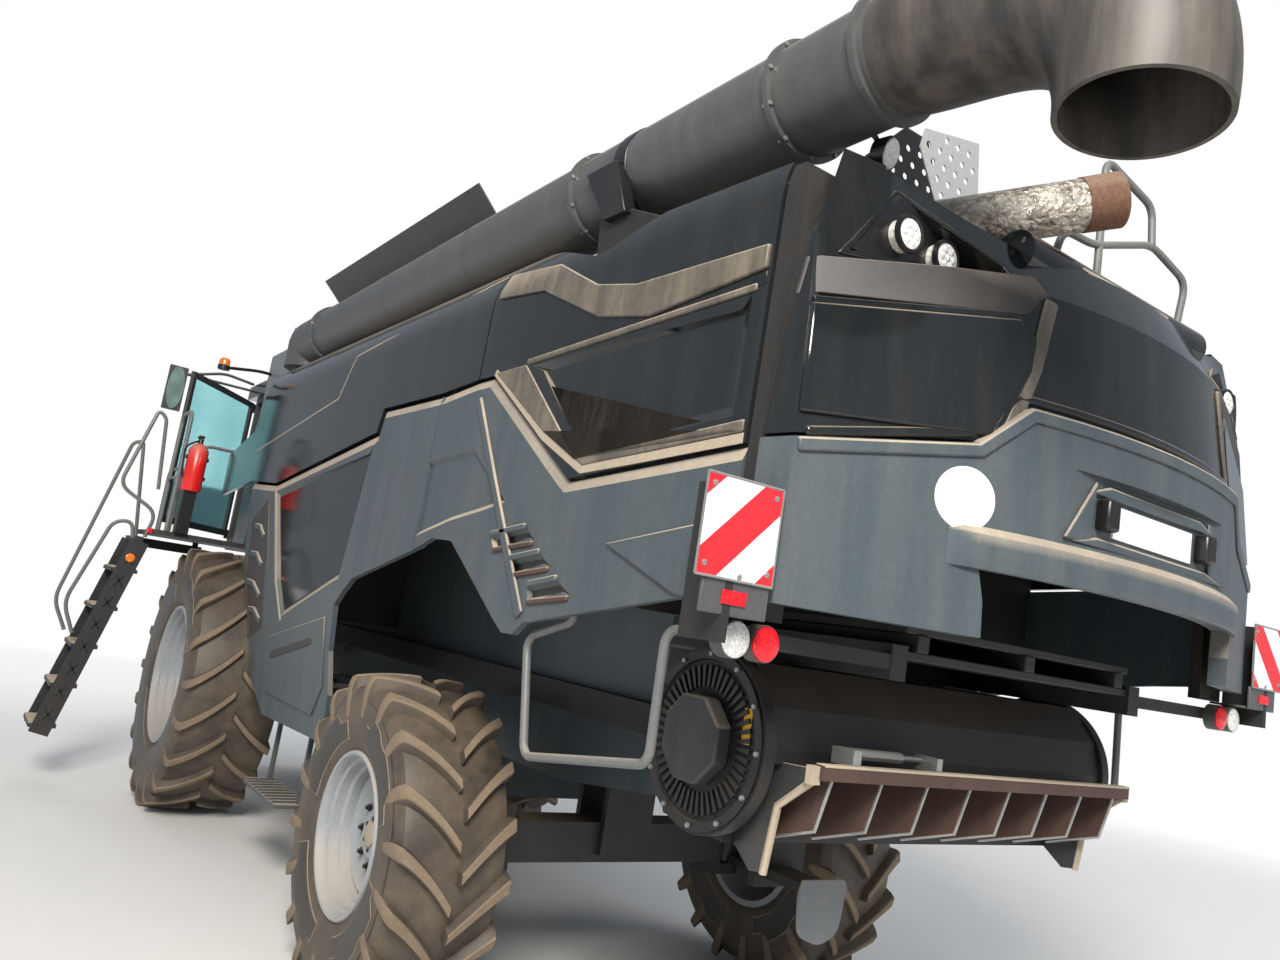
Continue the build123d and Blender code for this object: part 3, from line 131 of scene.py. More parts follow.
class Sheet:
    """A node tree with short calls for the nodes that the finishes use."""

    def __init__(self, name):
        self.material = bpy.data.materials.new(name)
        self.material.use_nodes = True
        self.tree = self.material.node_tree
        self.shader = self.tree.nodes["Principled BSDF"]
        places = self.tree.nodes.new("ShaderNodeTexCoord")
        self.coords = places.outputs["Object"]
        self.normal = places.outputs["Normal"]

    def node(self, kind, **values):
        made = self.tree.nodes.new(kind)
        for key, value in values.items():
            setattr(made, key, value)
        return made

    def feed(self, socket, value):
        """Links an output to a socket, or sets the socket's own value."""
        if hasattr(value, "is_output"):
            self.tree.links.new(value, socket)
        else:
            socket.default_value = value

    def noise(self, scale, detail=4.0, rough=0.55, stretch=None):
        coords = self.coords
        if stretch:
            mapping = self.node("ShaderNodeMapping")
            mapping.inputs["Scale"].default_value = stretch
            self.feed(mapping.inputs["Vector"], coords)
            coords = mapping.outputs["Vector"]
        made = self.node("ShaderNodeTexNoise")
        made.inputs["Scale"].default_value = scale
        made.inputs["Detail"].default_value = detail
        made.inputs["Roughness"].default_value = rough
        self.feed(made.inputs["Vector"], coords)
        return made.outputs["Fac"]

    def cells(self, scale, feature="F1"):
        made = self.node("ShaderNodeTexVoronoi", feature=feature)
        made.inputs["Scale"].default_value = scale
        self.feed(made.inputs["Vector"], self.coords)
        return made.outputs["Distance"]

    def math(self, operation, a, b=0.0, clamp=False):
        made = self.node("ShaderNodeMath", operation=operation, use_clamp=clamp)
        self.feed(made.inputs[0], a)
        self.feed(made.inputs[1], b)
        return made.outputs[0]

    def span(self, value, low, high, to_low=0.0, to_high=1.0):
        made = self.node("ShaderNodeMapRange", clamp=True)
        for key, number in (("From Min", low), ("From Max", high), ("To Min", to_low), ("To Max", to_high)):
            made.inputs[key].default_value = number
        self.feed(made.inputs["Value"], value)
        return made.outputs["Result"]

    def mix(self, share, first, second):
        made = self.node("ShaderNodeMix", data_type="RGBA")
        self.feed(made.inputs[0], share)
        for index, colour in ((6, first), (7, second)):
            value = colour if hasattr(colour, "is_output") else (*colour, 1.0)
            self.feed(made.inputs[index], value)
        return made.outputs[2]

    def axis(self, source, letter):
        split = self.node("ShaderNodeSeparateXYZ")
        self.feed(split.inputs[0], source)
        return split.outputs[letter]

    def bump(self, height, strength, distance):
        made = self.node("ShaderNodeBump")
        made.inputs["Strength"].default_value = strength
        made.inputs["Distance"].default_value = distance
        self.feed(made.inputs["Height"], height)
        self.feed(self.shader.inputs["Normal"], made.outputs["Normal"])

    def set(self, **values):
        for key, value in values.items():
            self.shader.inputs[key.replace("_", " ")].default_value = value

    def paint(self, colour):
        self.feed(self.shader.inputs["Base Color"], colour)

    def roughen(self, value):
        self.feed(self.shader.inputs["Roughness"], value)


def dusty(name, base, roughness, dust=1.0, metallic=0.0, grain=0.1, film=0.1, tint=DUST,
          faces=DUST_ON_MATTE):
    """A finish that gathers dust where it faces up, and a faint film elsewhere."""
    sheet = Sheet(name)
    broad = sheet.noise(1.7, 5.0, 0.6)
    fine = sheet.noise(55.0, 4.0, 0.7)
    streak = sheet.noise(9.0, 4.0, 0.6, (1.0, 1.0, 0.12))
    # The upward share of the surface's normal at rest
    facing = sheet.span(sheet.axis(sheet.normal, "Z"), *faces)
    patchy = sheet.math("MULTIPLY", facing, sheet.span(broad, 0.25, 0.6, 0.55, 0.95))
    haze = sheet.math("MULTIPLY", sheet.span(streak, 0.4, 0.8), film)
    share = sheet.math("ADD", patchy, haze)
    share = sheet.math("MULTIPLY", share, sheet.span(fine, 0.2, 0.7, 0.75, 1.05))
    share = sheet.math("MULTIPLY", share, dust, clamp=True)
    darker, lighter = (tuple(c * (1 + way * grain) for c in base) for way in (-1, 1))
    shade = sheet.mix(sheet.span(fine, 0.3, 0.7), darker, lighter)
    sheet.paint(sheet.mix(share, shade, tint))
    sheet.roughen(sheet.span(share, 0.0, 0.7, roughness, 0.92))
    if metallic:
        sheet.feed(sheet.shader.inputs["Metallic"], sheet.span(share, 0.0, 0.6, metallic, 0.0))
    sheet.bump(fine, 0.05, 0.001)
    return sheet.material


def muddy_rubber(name, low, high, roughness):
    """Rubber under dried mud, between two shares of it."""
    sheet = Sheet(name)
    broad = sheet.noise(4.0, 6.0, 0.65)
    fine = sheet.noise(60.0, 5.0, 0.7)
    share = sheet.span(broad, 0.35, 0.68, low, high)
    share = sheet.math("MULTIPLY", share, sheet.span(fine, 0.25, 0.7, 0.65, 1.0))
    sheet.paint(sheet.mix(share, RUBBER, MUD))
    sheet.roughen(sheet.span(share, 0.0, 1.0, roughness, 0.95))
    sheet.bump(fine, 0.3, 0.004)
    return sheet.material


def tinted_glass(name):
    sheet = Sheet(name)
    cloud = sheet.noise(1.6, 3.0)
    sheet.paint(sheet.mix(sheet.span(cloud, 0.3, 0.7), (0.16, 0.36, 0.38), (0.24, 0.46, 0.47)))
    sheet.roughen(sheet.span(sheet.noise(30.0), 0.3, 0.8, 0.02, 0.09))
    sheet.set(Transmission_Weight=0.75, IOR=1.45)
    return sheet.material


def crinkled_foil(name):
    """Aluminium wrap with fine creases and patches of soot."""
    sheet = Sheet(name)
    folds = sheet.cells(26.0, "DISTANCE_TO_EDGE")
    soot = sheet.span(sheet.noise(12.0, 6.0), 0.35, 0.65)
    sheet.paint(sheet.mix(soot, (0.2, 0.17, 0.14), (0.66, 0.62, 0.55)))
    sheet.roughen(sheet.span(folds, 0.0, 0.3, 0.55, 0.22))
    sheet.set(Metallic=0.75)
    sheet.bump(sheet.math("ADD", folds, sheet.noise(40.0, 5.0)), 0.9, 0.02)
    return sheet.material


def striped_sign(name):
    """Red and white slanted bands that fall outward on both sides of the machine."""
    sheet = Sheet(name)
    across = sheet.math("ABSOLUTE", sheet.math("SUBTRACT", sheet.axis(sheet.coords, "X"), ORIGIN.x))
    slant = sheet.math("ADD", across, sheet.axis(sheet.coords, "Z"))
    band = sheet.math("FRACT", sheet.math("DIVIDE", sheet.math("SUBTRACT", slant, SIGN_START), SIGN_BAND))
    red = sheet.math("LESS_THAN", band, 0.5)
    cells = sheet.cells(220.0)
    base = sheet.mix(red, (0.74, 0.75, 0.76), (0.66, 0.012, 0.022))
    sheet.paint(sheet.mix(sheet.span(cells, 0.0, 0.6, 0.92, 1.0), (0.5, 0.5, 0.5), base))
    sheet.roughen(sheet.span(cells, 0.0, 0.6, 0.22, 0.32))
    return sheet.material


def prism_lens(name, colour, scale=70.0):
    """A moulded lamp lens with small prisms."""
    sheet = Sheet(name)
    share = sheet.span(sheet.cells(scale), 0.0, 0.7)
    sheet.paint(sheet.mix(share, tuple(min(1.0, c * 1.25) for c in colour), tuple(c * 0.72 for c in colour)))
    sheet.roughen(sheet.span(share, 0.0, 1.0, 0.08, 0.2))
    sheet.bump(share, 0.25, 0.004)
    return sheet.material


FINISHES = {}


def add_finish(kind, name, *told, slot=None, **more):
    """Makes a finish under its name; the slot argument is not used."""
    FINISHES[name] = kind(name, *told, **more)


add_finish(muddy_rubber, "tyre", 0.08, 0.45, 0.42)
add_finish(dusty, "rim_paint", SILVER, 0.38, 0.5, film=0.18)
add_finish(dusty, "slate_paint", SLATE, 0.42, 0.95)
add_finish(dusty, "dark_gloss", GRAPHITE, 0.1, 0.85, film=0.03, faces=DUST_ON_GLOSS)
add_finish(dusty, "dark_matte", CHARCOAL, 0.5, 0.8)
add_finish(dusty, "chassis_paint", SOOT, 0.55, 0.55, tint=MUD, faces=(0.5, 0.9))
add_finish(dusty, "grey_paint", (0.06, 0.064, 0.068), 0.42, 0.8, faces=(0.45, 0.9))
add_finish(dusty, "rail_paint", (0.13, 0.135, 0.135), 0.4, 0.6, faces=(0.3, 0.9))
add_finish(dusty, "rubber", (0.04, 0.038, 0.036), 0.48, 0.7, film=0.35, faces=(0.5, 0.95))
add_finish(tinted_glass, "glass")
add_finish(dusty, "steel", STEEL, 0.3, 0.3, 0.8)
add_finish(crinkled_foil, "wrap")
add_finish(prism_lens, "lens", (0.62, 0.62, 0.58))
add_finish(dusty, "sign", WHITE, 0.3, 0.1, grain=0.02, film=0.05)
add_finish(dusty, "seat_fabric", (0.03, 0.03, 0.035), 0.85, 0.1)
add_finish(dusty, "tank_paint", (0.035, 0.037, 0.04), 0.5, 0.7)
add_finish(muddy_rubber, "lug_top", 0.75, 1.0, 0.8, slot="tyre")
add_finish(muddy_rubber, "lug_flank", 0.1, 0.4, 0.5, slot="tyre")
add_finish(dusty, "wall_line", (0.24, 0.19, 0.14), 0.7, 0.3, slot="tyre")
add_finish(dusty, "wall_panel", (0.026, 0.023, 0.021), 0.42, 0.3, tint=MUD, film=0.25, slot="tyre")
add_finish(dusty, "plain_gloss", (0.006, 0.008, 0.009), 0.09, 0.5, film=0.03, faces=DUST_ON_GLOSS,
           slot="dark_gloss")
add_finish(dusty, "beige_edge", (0.36, 0.3, 0.23), 0.7, 0.8, film=0.5, slot="slate_paint")
add_finish(dusty, "band", (0.034, 0.031, 0.031), 0.58, 0.4, slot="dark_matte")
add_finish(dusty, "black", (0.006, 0.006, 0.007), 0.32, 0.25, faces=(0.6, 0.95), slot="dark_matte")
add_finish(dusty, "trim_silver", (0.3, 0.31, 0.31), 0.25, 0.3, 0.6, slot="steel")
add_finish(striped_sign, "stripes", slot="sign")
add_finish(dusty, "dusted", (0.085, 0.074, 0.06), 0.42, 0.7, film=0.55, grain=0.3, slot="dark_gloss")
add_finish(dusty, "plate_grey", (0.3, 0.31, 0.32), 0.4, 0.2, slot="steel")
add_finish(prism_lens, "red_lens", (0.75, 0.01, 0.02), slot="lens")
add_finish(prism_lens, "clear_lens", (0.72, 0.73, 0.72), 110.0, slot="lens")
add_finish(prism_lens, "amber", (0.85, 0.22, 0.02), slot="lens")
add_finish(dusty, "red_paint", (0.6, 0.012, 0.012), 0.25, 0.4, slot="dark_matte")
add_finish(dusty, "rust", (0.11, 0.05, 0.028), 0.75, 0.3, grain=0.4, slot="steel")
add_finish(dusty, "vane", (0.06, 0.03, 0.024), 0.6, 0.6, slot="dark_matte")
add_finish(dusty, "yellow", (0.72, 0.38, 0.01), 0.4, 0.2, slot="sign")
add_finish(dusty, "pale_face", (0.15, 0.165, 0.18), 0.35, 0.9, slot="dark_gloss")
add_finish(prism_lens, "mirror_glass", (0.16, 0.24, 0.22), 6.0, slot="glass")

# Nodes whose finish isn't the usual one of their slot
OWN_FINISH = {"warning_plates": "stripes", "tail_lamps": "grey_paint", "number_plate": "sign",
              "tailboard": "vane", "intake_box": "pale_face", "chopper_housing": "chassis_paint"}


def arc(centre, radius, count, start=0.0, tall=None):
    """Evenly spaced points of a whole circle, or of an oval where a second radius is told."""
    turns = [start + 2 * pi * k / count for k in range(count)]
    return [(centre[0] + radius * cos(turn), centre[1] + (tall or radius) * sin(turn)) for turn in turns]


class Mould:
    """A mesh under construction, in machine axes and metres."""

    def __init__(self):
        self.mesh = bmesh.new()

    def face(self, corners, tag=0):
        made = self.mesh.faces.new(corners)
        made.material_index = tag

    def rings(self, rows, tags=None, caps=True):
        """Joins closed rows of as many points each, and caps the two ends."""
        made = [[self.mesh.verts.new(point) for point in row] for row in rows]
        count = len(made[0])
        tags = tags or [0] * count
        for near, far in zip(made, made[1:]):
            for i in range(count):
                j = (i + 1) % count
                self.face((near[i], near[j], far[j], far[i]), tags[i])
        if caps:
            self.face(made[0], tags[0])
            self.face(made[-1], tags[0])
        return self

    def prism(self, axis, outline, start, end):
        """An outline in the two other axes, stretched along an axis."""
        at = "xyz".index(axis)
        return self.rings([[(*pair[:at], level, *pair[at:]) for pair in outline] for level in (start, end)])

    def box(self, x, y, z):
        return self.prism("x", [(y[0], z[0]), (y[1], z[0]), (y[1], z[1]), (y[0], z[1])], *x)

    def lathe(self, base, way, profile, sides=32, caps=True):
        """A body of revolution from (distance along the way, radius) pairs."""
        way = Vector(way).normalized()
        across = way.orthogonal().normalized()
        other = way.cross(across)
        turns = [2 * pi * i / sides for i in range(sides)]
        spokes = [across * cos(turn) + other * sin(turn) for turn in turns]
        rows = [[Vector(base) + way * run + spoke * radius for spoke in spokes] for run, radius in profile]
        return self.rings(rows, None, caps)

    def rod(self, start, end, radius, sides=20):
        way = Vector(end) - Vector(start)
        return self.lathe(start, way, [(0, radius), (way.length, radius)], sides)

    def sweep(self, path, radius, sides=10):
        """A round bar along a path."""
        points = [Vector(point) for point in path]
        rows, side = [], None
        for i, point in enumerate(points):
            way = (points[min(i + 1, len(points) - 1)] - points[max(i - 1, 0)]).normalized()
            side = side or way.orthogonal()
            side = (side - way * side.dot(way)).normalized()
            other = way.cross(side)
            turns = [2 * pi * k / sides for k in range(sides)]
            rows.append([point + (side * cos(turn) + other * sin(turn)) * radius for turn in turns])
        return self.rings(rows)

    def bar(self, path, bend, radius=RAIL_RADIUS):
        """A round bar along a path with rounded corners."""
        return self.sweep(rounded(path, bend), radius)

    def draped(self, outline, surface, lift, thick, cuts):
        """A plate that follows a curved side; it is cut where the side bends."""
        flat = bmesh.new()
        flat.faces.new([flat.verts.new((a, b, 0)) for a, b in outline])
        for axis, level in cuts:
            where = Vector((0, 0, 0))
            normal = Vector((0, 0, 0))
            where[axis] = level
            normal[axis] = 1
            geometry = flat.verts[:] + flat.edges[:] + flat.faces[:]
            bmesh.ops.bisect_plane(flat, geom=geometry, plane_co=where, plane_no=normal)
        outer, inner = {}, {}
        for vert in flat.verts:
            point, out = surface(vert.co.x, vert.co.y)
            outer[vert] = self.mesh.verts.new(point + out * lift)
            inner[vert] = self.mesh.verts.new(point + out * (lift - thick))
        for face in flat.faces:
            self.face([outer[vert] for vert in face.verts])
            self.face([inner[vert] for vert in reversed(face.verts)])
        for edge in flat.edges:
            if edge.is_boundary:
                a, b = edge.verts
                self.face((outer[a], outer[b], inner[b], inner[a]))
        flat.free()
        return self

    def done(self, name, *finishes, body="root", slot=None, bevel=0.0, twin=None, smooth=0.6, replaces=()):
        """Makes the piece, and its twin on the machine's right where one is named."""
        bmesh.ops.recalc_face_normals(self.mesh, faces=self.mesh.faces[:])
        made = []
        for way, called, rider in ((1, name, body), (-1, *(twin or (None, None)))):
            if not called:
                continue
            shape = self.mesh.copy()
            for vert in shape.verts:
                vert.co = place((way * vert.co.x, vert.co.y, vert.co.z))
            if way < 0:
                bmesh.ops.reverse_faces(shape, faces=shape.faces[:])
            data = bpy.data.meshes.new(called)
            shape.to_mesh(data)
            shape.free()
            for finish in finishes:
                data.materials.append(FINISHES[finish])
            data.shade_smooth()
            data.set_sharp_from_angle(angle=smooth)
            piece = bpy.data.objects.new(called, data)
            bpy.context.scene.collection.objects.link(piece)
            if bevel:
                edge = piece.modifiers.new("edge", "BEVEL")
                edge.width = bevel
                edge.segments = 2
                edge.limit_method = "ANGLE"
                edge.angle_limit = 0.6
            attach(piece, rider)
            made.append(piece)
        for piece, nodes in zip(made, replaces):
            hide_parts(*nodes)
        self.mesh.free()

    def pair(self, name, *finishes, body="root", **more):
        """Makes the piece on the left and its twin on the right, each on its own side's body."""
        left, right = (body if body == "root" else f"{body}_{side}" for side in SIDES)
        self.done(f"{name}_left", *finishes, body=left, twin=(f"{name}_right", right), **more)

    def on_wheels(self, name, wheel, *finishes, swap=None, **more):
        """Makes a pair on one end's wheels, in place of a node of each where one is named."""
        end = wheel["end"]
        if swap:
            more["replaces"] = [(f"{swap}_{end}_{side}",) for side in SIDES]
        self.pair(f"{name}_{end}", *finishes, body=f"wheel_{end}", **more)


def rounded(path, bend, steps=5):
    """A path whose corners become small curves."""
    points = [Vector(point) for point in path]
    made = [points[0]]
    for a, b, c in zip(points, points[1:], points[2:]):
        cut = min(bend, (a - b).length * 0.49, (c - b).length * 0.49)
        start, end = b + (a - b).normalized() * cut, b + (c - b).normalized() * cut
        for k in range(steps + 1):
            share = k / steps
            made.append(start.lerp(b, share).lerp(b.lerp(end, share), share))
    return made + [points[-1]]


def stroke(path, width):
    """The outline of a band along a path, both as (a, b) pairs."""
    points = [Vector((a, b, 0)) for a, b in path]
    left, right = [], []
    for i, point in enumerate(points):
        ways = []
        for a, b in ((i - 1, i), (i, i + 1)):
            if a >= 0 and b < len(points):
                way = (points[b] - points[a]).normalized()
                ways.append(Vector((-way.y, way.x, 0)))
        across = (ways[0] + ways[-1]).normalized()
        across *= width / 2 / max(across.dot(ways[0]), 0.4)
        left.append((point + across)[:2])
        right.append((point - across)[:2])
    return left + right[::-1]


def inside(outline, x, z, margin):
    """Whether a point lies inside an outline with room to its edges."""
    for dx, dz in ((0, 0), (margin, 0), (-margin, 0), (0, margin), (0, -margin)):
        count = 0
        for (ax, az), (bx, bz) in zip(outline, outline[1:] + outline[:1]):
            if (az > z + dz) != (bz > z + dz) and x + dx < (bx - ax) * (z + dz - az) / (bz - az) + ax:
                count += 1
        if count % 2 == 0:
            return False
    return True


def between(table, value):
    """A number read from a table of (key, number) rows in rising order of key."""
    for (low, a), (high, b) in zip(table, table[1:]):
        if value <= high:
            return a + (b - a) * max(0.0, value - low) / (high - low)
    return table[-1][1]


def skin_x(z):
    """Where the body's outer skin lies at a height."""
    (foot_x, foot_z), (crest_x, crest_z) = SKIN_LINE[BOW_FOOT], SKIN_LINE[BOW_FOOT + 1]
    if foot_z < z < crest_z:
        run, rise = foot_x - crest_x, crest_z - foot_z
        radius = (run * run + rise * rise) / (2 * run)
        return foot_x - radius + sqrt(radius**2 - (z - foot_z) ** 2)
    return between([(level, x) for x, level in SKIN_LINE], z)


def tail_y(x, z):
    """Where the tail lies at a place across the machine and a height."""
    inset = between(TAIL_LEAN, z) if z > APRON_TOP else 0.0
    side, corner, knee = TAIL_CORNERS
    a = (side[0] - inset, side[1])
    b = (corner[0] - inset * 0.6, max(corner[1] - inset, side[1] + 0.001))
    c = (knee[0] - inset * 0.6, knee[1] - inset)
    across = abs(x)
    if across > b[0]:
        return b[1] + (a[1] - b[1]) * min(1.0, (across - b[0]) / max(a[0] - b[0], 0.001))
    if across > c[0]:
        return c[1] + (b[1] - c[1]) * (across - c[0]) / (b[0] - c[0])
    bulge = TAIL_BULGE - inset - c[1]
    radius = (c[0] ** 2 + bulge**2) / (2 * bulge)
    return c[1] + bulge - radius + sqrt(radius**2 - across**2)


def apron_y(x):
    """Where the tail's lower apron lies, which stands upright."""
    return tail_y(x, APRON_TOP)


def on_skin(y, z):
    return Vector((skin_x(z), y, z)), Vector(OUT)


def on_tail(x, z):
    return Vector((x, tail_y(x, z), z)), Vector(BACK)


def on_apron(x, z):
    return Vector((x, apron_y(x), z)), Vector(BACK)


def in_pocket(x, z):
    return Vector((x, POCKET_FLOOR, z)), Vector(BACK)


# Where the plates are cut to follow the skin and the tail: axis of the outline, and level
SKIN_CUTS = [(1, z) for x, z in SKIN_LINE[1:4]] + [(1, 3.45), (1, 3.55), (1, 3.64)]
TAIL_CUTS = [(0, side * x / 100) for side in (1, -1) for x in (144, 138, 64, 48, 32, 16)]
TAIL_CUTS += [(0, 0.0), (1, 3.25)]


def dress_nodes():
    """Gives each carried CAD node its finish."""
    for row in frame["record"]["subparts"]:
        piece = frame["nodes"][row["node"]]
        piece.data.materials.clear()
        piece.data.materials.append(FINISHES[OWN_FINISH.get(row["node"], row["material_slot"])])


def polar(wheel, x, radius, angle):
    """A point of the left wheel, its angle counted from the top towards the rear."""
    back, rise = radius * sin(angle), radius * cos(angle)
    return Vector((wheel["centre"] + x, wheel["y"] + back, wheel["radius"] + rise))


def carcass_line(wheel):
    """(x, radius) of the tyre's outside from the middle of the tread to the bead."""
    half, rim = wheel["width"] / 2, wheel["rim"]
    crown = wheel["radius"] - LUG_HEIGHT
    waist = crown * 0.45 + rim * 0.55
    return [
        (0.0, crown), (half * 0.4, crown - 0.003), (half * 0.7, crown - 0.012),
        (half * 0.88, crown - 0.03), (half * 0.955, crown - 0.062), (half * 0.985, crown - 0.11),
        (half * 0.99, (crown + waist) / 2), (half * 0.985, waist), (half * 0.95, rim + 0.075),
        (half * 0.92, rim + 0.04), (half * 0.885, rim + 0.014), (half * 0.86, rim + 0.004),
        (half * 0.86, rim - 0.02),
    ]


def lug_stations(wheel, tread):
    """Sections of a lug: (share of the sweep, foot's x and radius, top's x and radius, width's share)."""
    half, top = wheel["width"] / 2, wheel["radius"]
    crown = top - LUG_HEIGHT
    stations = []
    for k in range(10):
        share = k / 9
        foot, peak = (LUG_START + (reach * half - LUG_START) * share for reach in (0.9, 0.945))
        turn = 1.3 * share - 0.3 * share**2
        sole, crest = between(tread, foot) - 0.006, top - 0.016 * share**2
        stations.append((turn, foot, sole, peak, crest, 1 + 0.3 * share**2))
    return stations + [
        (1.03, 0.945 * half, crown - 0.075, 0.985 * half, top - 0.045, 1.34),
        (1.06, 0.965 * half, crown - 0.11, half, top - 0.084, 1.36),
        (1.08, 0.975 * half, crown - 0.16, 0.996 * half, crown - 0.12, 1.25),
        (1.09, 0.975 * half, crown - 0.19, 0.988 * half, crown - 0.175, 0.9),
    ]


def tyres(wheel):
    """Two tyres with swept lugs, in place of the plain ones."""
    mould = Mould()
    line = carcass_line(wheel)
    top, lugs = wheel["radius"], wheel["lugs"]
    pitch = 2 * pi / lugs
    whole = [(-x, radius) for x, radius in reversed(line)] + line[1:]
    mould.lathe(polar(wheel, 0, 0, 0), OUT, whole + whole[:1], 108, caps=False)
    stations = lug_stations(wheel, line[:5])
    skew = wheel["way"] * pitch * LUG_SWEEP
    for side in (1, -1):
        start = pi if side > 0 else pi + pitch / 2
        for k in range(lugs):
            rows = []
            for turn, foot_x, foot_r, peak_x, peak_r, wide in stations:
                angle = start + k * pitch + turn * skew
                foot, peak = LUG_FOOT / 2 / top * wide, LUG_TOP / 2 / top * wide
                upper_x, upper_r = foot_x + (peak_x - foot_x) * 0.86, foot_r + (peak_r - foot_r) * 0.86
                section = [
                    (foot_x, foot_r, -foot), (upper_x, upper_r, -peak * 1.12), (peak_x, peak_r, -peak * 0.86),
                    (peak_x, peak_r, peak * 0.86), (upper_x, upper_r, peak * 1.12), (foot_x, foot_r, foot),
                ]
                rows.append([polar(wheel, side * x, r, angle + step) for x, r, step in section])
            mould.rings(rows, [2, 1, 1, 1, 2, 2])
    mould.on_wheels("tread", wheel, "tyre", "lug_top", "lug_flank", smooth=0.5, swap="tyre")


def wall_fields(wheel):
    """Raised blank fields with jagged ends on the tyres' walls, and the pale line round each."""
    crown = wheel["radius"] - LUG_HEIGHT
    wall = sorted((radius, x) for x, radius in carcass_line(wheel)[5:11])
    low, high = wheel["rim"] + 0.06, crown - 0.135
    steps = 14
    for name, grow, proud in (("wall_line", 0.006, 0.003), ("wall_panel", 0.0, 0.005)):
        mould = Mould()
        for side in (1, -1):
            for k in range(4):
                rows = []
                for i in range(steps + 1):
                    angle = k * pi / 2 + 0.2 + (i / steps) * 1.05
                    if i in (0, steps):
                        angle += (-1 if i == 0 else 1) * grow / high
                    notch = (high - low) * (0.42 if i < 2 or i > steps - 3 else 0.12 if i in (5, 6) else 0.0)
                    inner, outer = low - grow, high - notch + grow
                    radii = [inner, inner, (inner * 2 + outer) / 3, (inner + outer * 2) / 3, outer, outer]
                    lifts = [-0.006, proud, proud, proud, proud, -0.006]
                    section = [(between(wall, radius) + lift, radius) for radius, lift in zip(radii, lifts)]
                    rows.append([polar(wheel, side * x, radius, angle) for x, radius in section])
                mould.rings(rows)
        mould.on_wheels(name, wheel, name, smooth=0.4)


def rims(wheel):
    """Two stepped rims with nuts, valve and hub plate, in place of the plain ones."""
    half, top = wheel["width"] / 2 * 0.9, wheel["rim"]
    hub, disc, cap = wheel["hub"], wheel["disc"], wheel["cap"]
    bed = top - 0.026
    outside = [
        (half, top - 0.004), (half + 0.003, top - 0.01), (half, top - 0.022), (half - 0.02, top - 0.034),
        (half - 0.045, top - 0.036), (half - 0.055, top - 0.052), (half - 0.1, top - 0.056),
        (half - 0.112, top - 0.074), (half - 0.16, top - 0.078), (half - 0.172, top - 0.096),
        (disc + 0.045, top - 0.108), (disc + 0.026, top - 0.15), (disc + 0.026, hub + 0.055),
        (disc + 0.034, hub + 0.045), (disc + 0.034, hub), (cap - 0.006, hub - 0.004), (cap, hub - 0.012),
        (cap, 0.004),
    ]
    within = [
        (cap - 0.014, 0.004), (disc - 0.03, hub - 0.02), (disc - 0.03, hub), (disc, hub + 0.02),
        (disc, top - 0.105), (disc + 0.02, top - 0.045), (-half + 0.06, top - 0.045), (-half, top - 0.035),
        (-half, top), (-half + 0.014, top), (-half + 0.014, bed), (half - 0.014, bed), (half - 0.014, top),
        (half, top - 0.004),
    ]
    mould = Mould().lathe(polar(wheel, 0, 0, 0), OUT, outside + within, 96, caps=False)
    mould.on_wheels("wheel_disc", wheel, "rim_paint", smooth=0.5, swap="rim")
    mould = Mould()
    for k in range(wheel["nuts"]):
        spot = polar(wheel, disc + 0.03, hub + 0.028, 2 * pi * k / wheel["nuts"])
        mould.lathe(spot, OUT, [(0, 0.019), (0.02, 0.019), (0.02, 0.011), (0.034, 0.01)], 6)
    for k in range(6):
        mould.lathe(polar(wheel, cap - 0.001, hub * 0.62, pi * k / 3), OUT, [(0, 0.01), (0.008, 0.01)], 6)
    valve = [polar(wheel, half - 0.15, top - 0.083, 0.5), polar(wheel, half - 0.08, top - 0.14, 0.5)]
    mould.rod(*valve, 0.008, 8)
    mould.on_wheels("nuts", wheel, "black")
    profile = [(0, hub * 0.48), (0.012, hub * 0.48), (0.016, hub * 0.4)]
    mould = Mould().lathe(polar(wheel, cap - 0.002, 0, 0), OUT, profile)
    mould.on_wheels("hub_plate", wheel, "beige_edge", slot="rim_paint")


def louvre_plates():
    """Dark ground, upper rib and lower lip of each louvre, its corners from the top's front round."""
    louvres = [
        [(0.945, 2.236), (1.245, 2.272), (1.325, 2.228), (0.985, 2.192)],
        [(1.16, 2.137), (1.398, 2.17), (1.484, 2.129), (1.172, 2.088)],
        [(1.35, 2.038), (1.563, 2.072), (1.664, 2.027), (1.362, 1.992)],
    ]
    plates = []
    for k, (a, b, c, d) in enumerate(louvres):
        top = stroke([(y, z + 0.02) for y, z in (a, b)], 0.026)
        lip = stroke([(y, z - 0.006) for y, z in (d, c)], 0.022)
        plates.append((f"louvre_{k}", "root", "black", 0.003 - DISH, 0.003, 0.0, [a, b, c, d]))
        plates.append((f"louvre_top_{k}", "root", "slate_paint", 0.014, 0.016, 0.006, top))
        plates.append((f"louvre_lip_{k}", "root", "vane", 0.012, 0.02, 0.006, lip))
    return plates


def scallop_ribs():
    """Arched ribs across the front of the lower panel."""
    ends = [((-3.07, 2.28), (-2.78, 2.2)), ((-3.03, 2.07), (-2.68, 1.99)),
            ((-2.98, 1.86), (-2.62, 1.77)), ((-2.88, 1.66), (-2.56, 1.6))]
    plates = []
    for k, (a, b) in enumerate(ends):
        crest = ((a[0] + b[0]) / 2, (a[1] + b[1]) / 2 + 0.035)
        rib = stroke((a, crest, b), 0.045)
        plates.append((f"scallop_rib_{k}", "lower_panel", "slate_paint", 0.02, 0.022, 0.008, rib))
    return plates


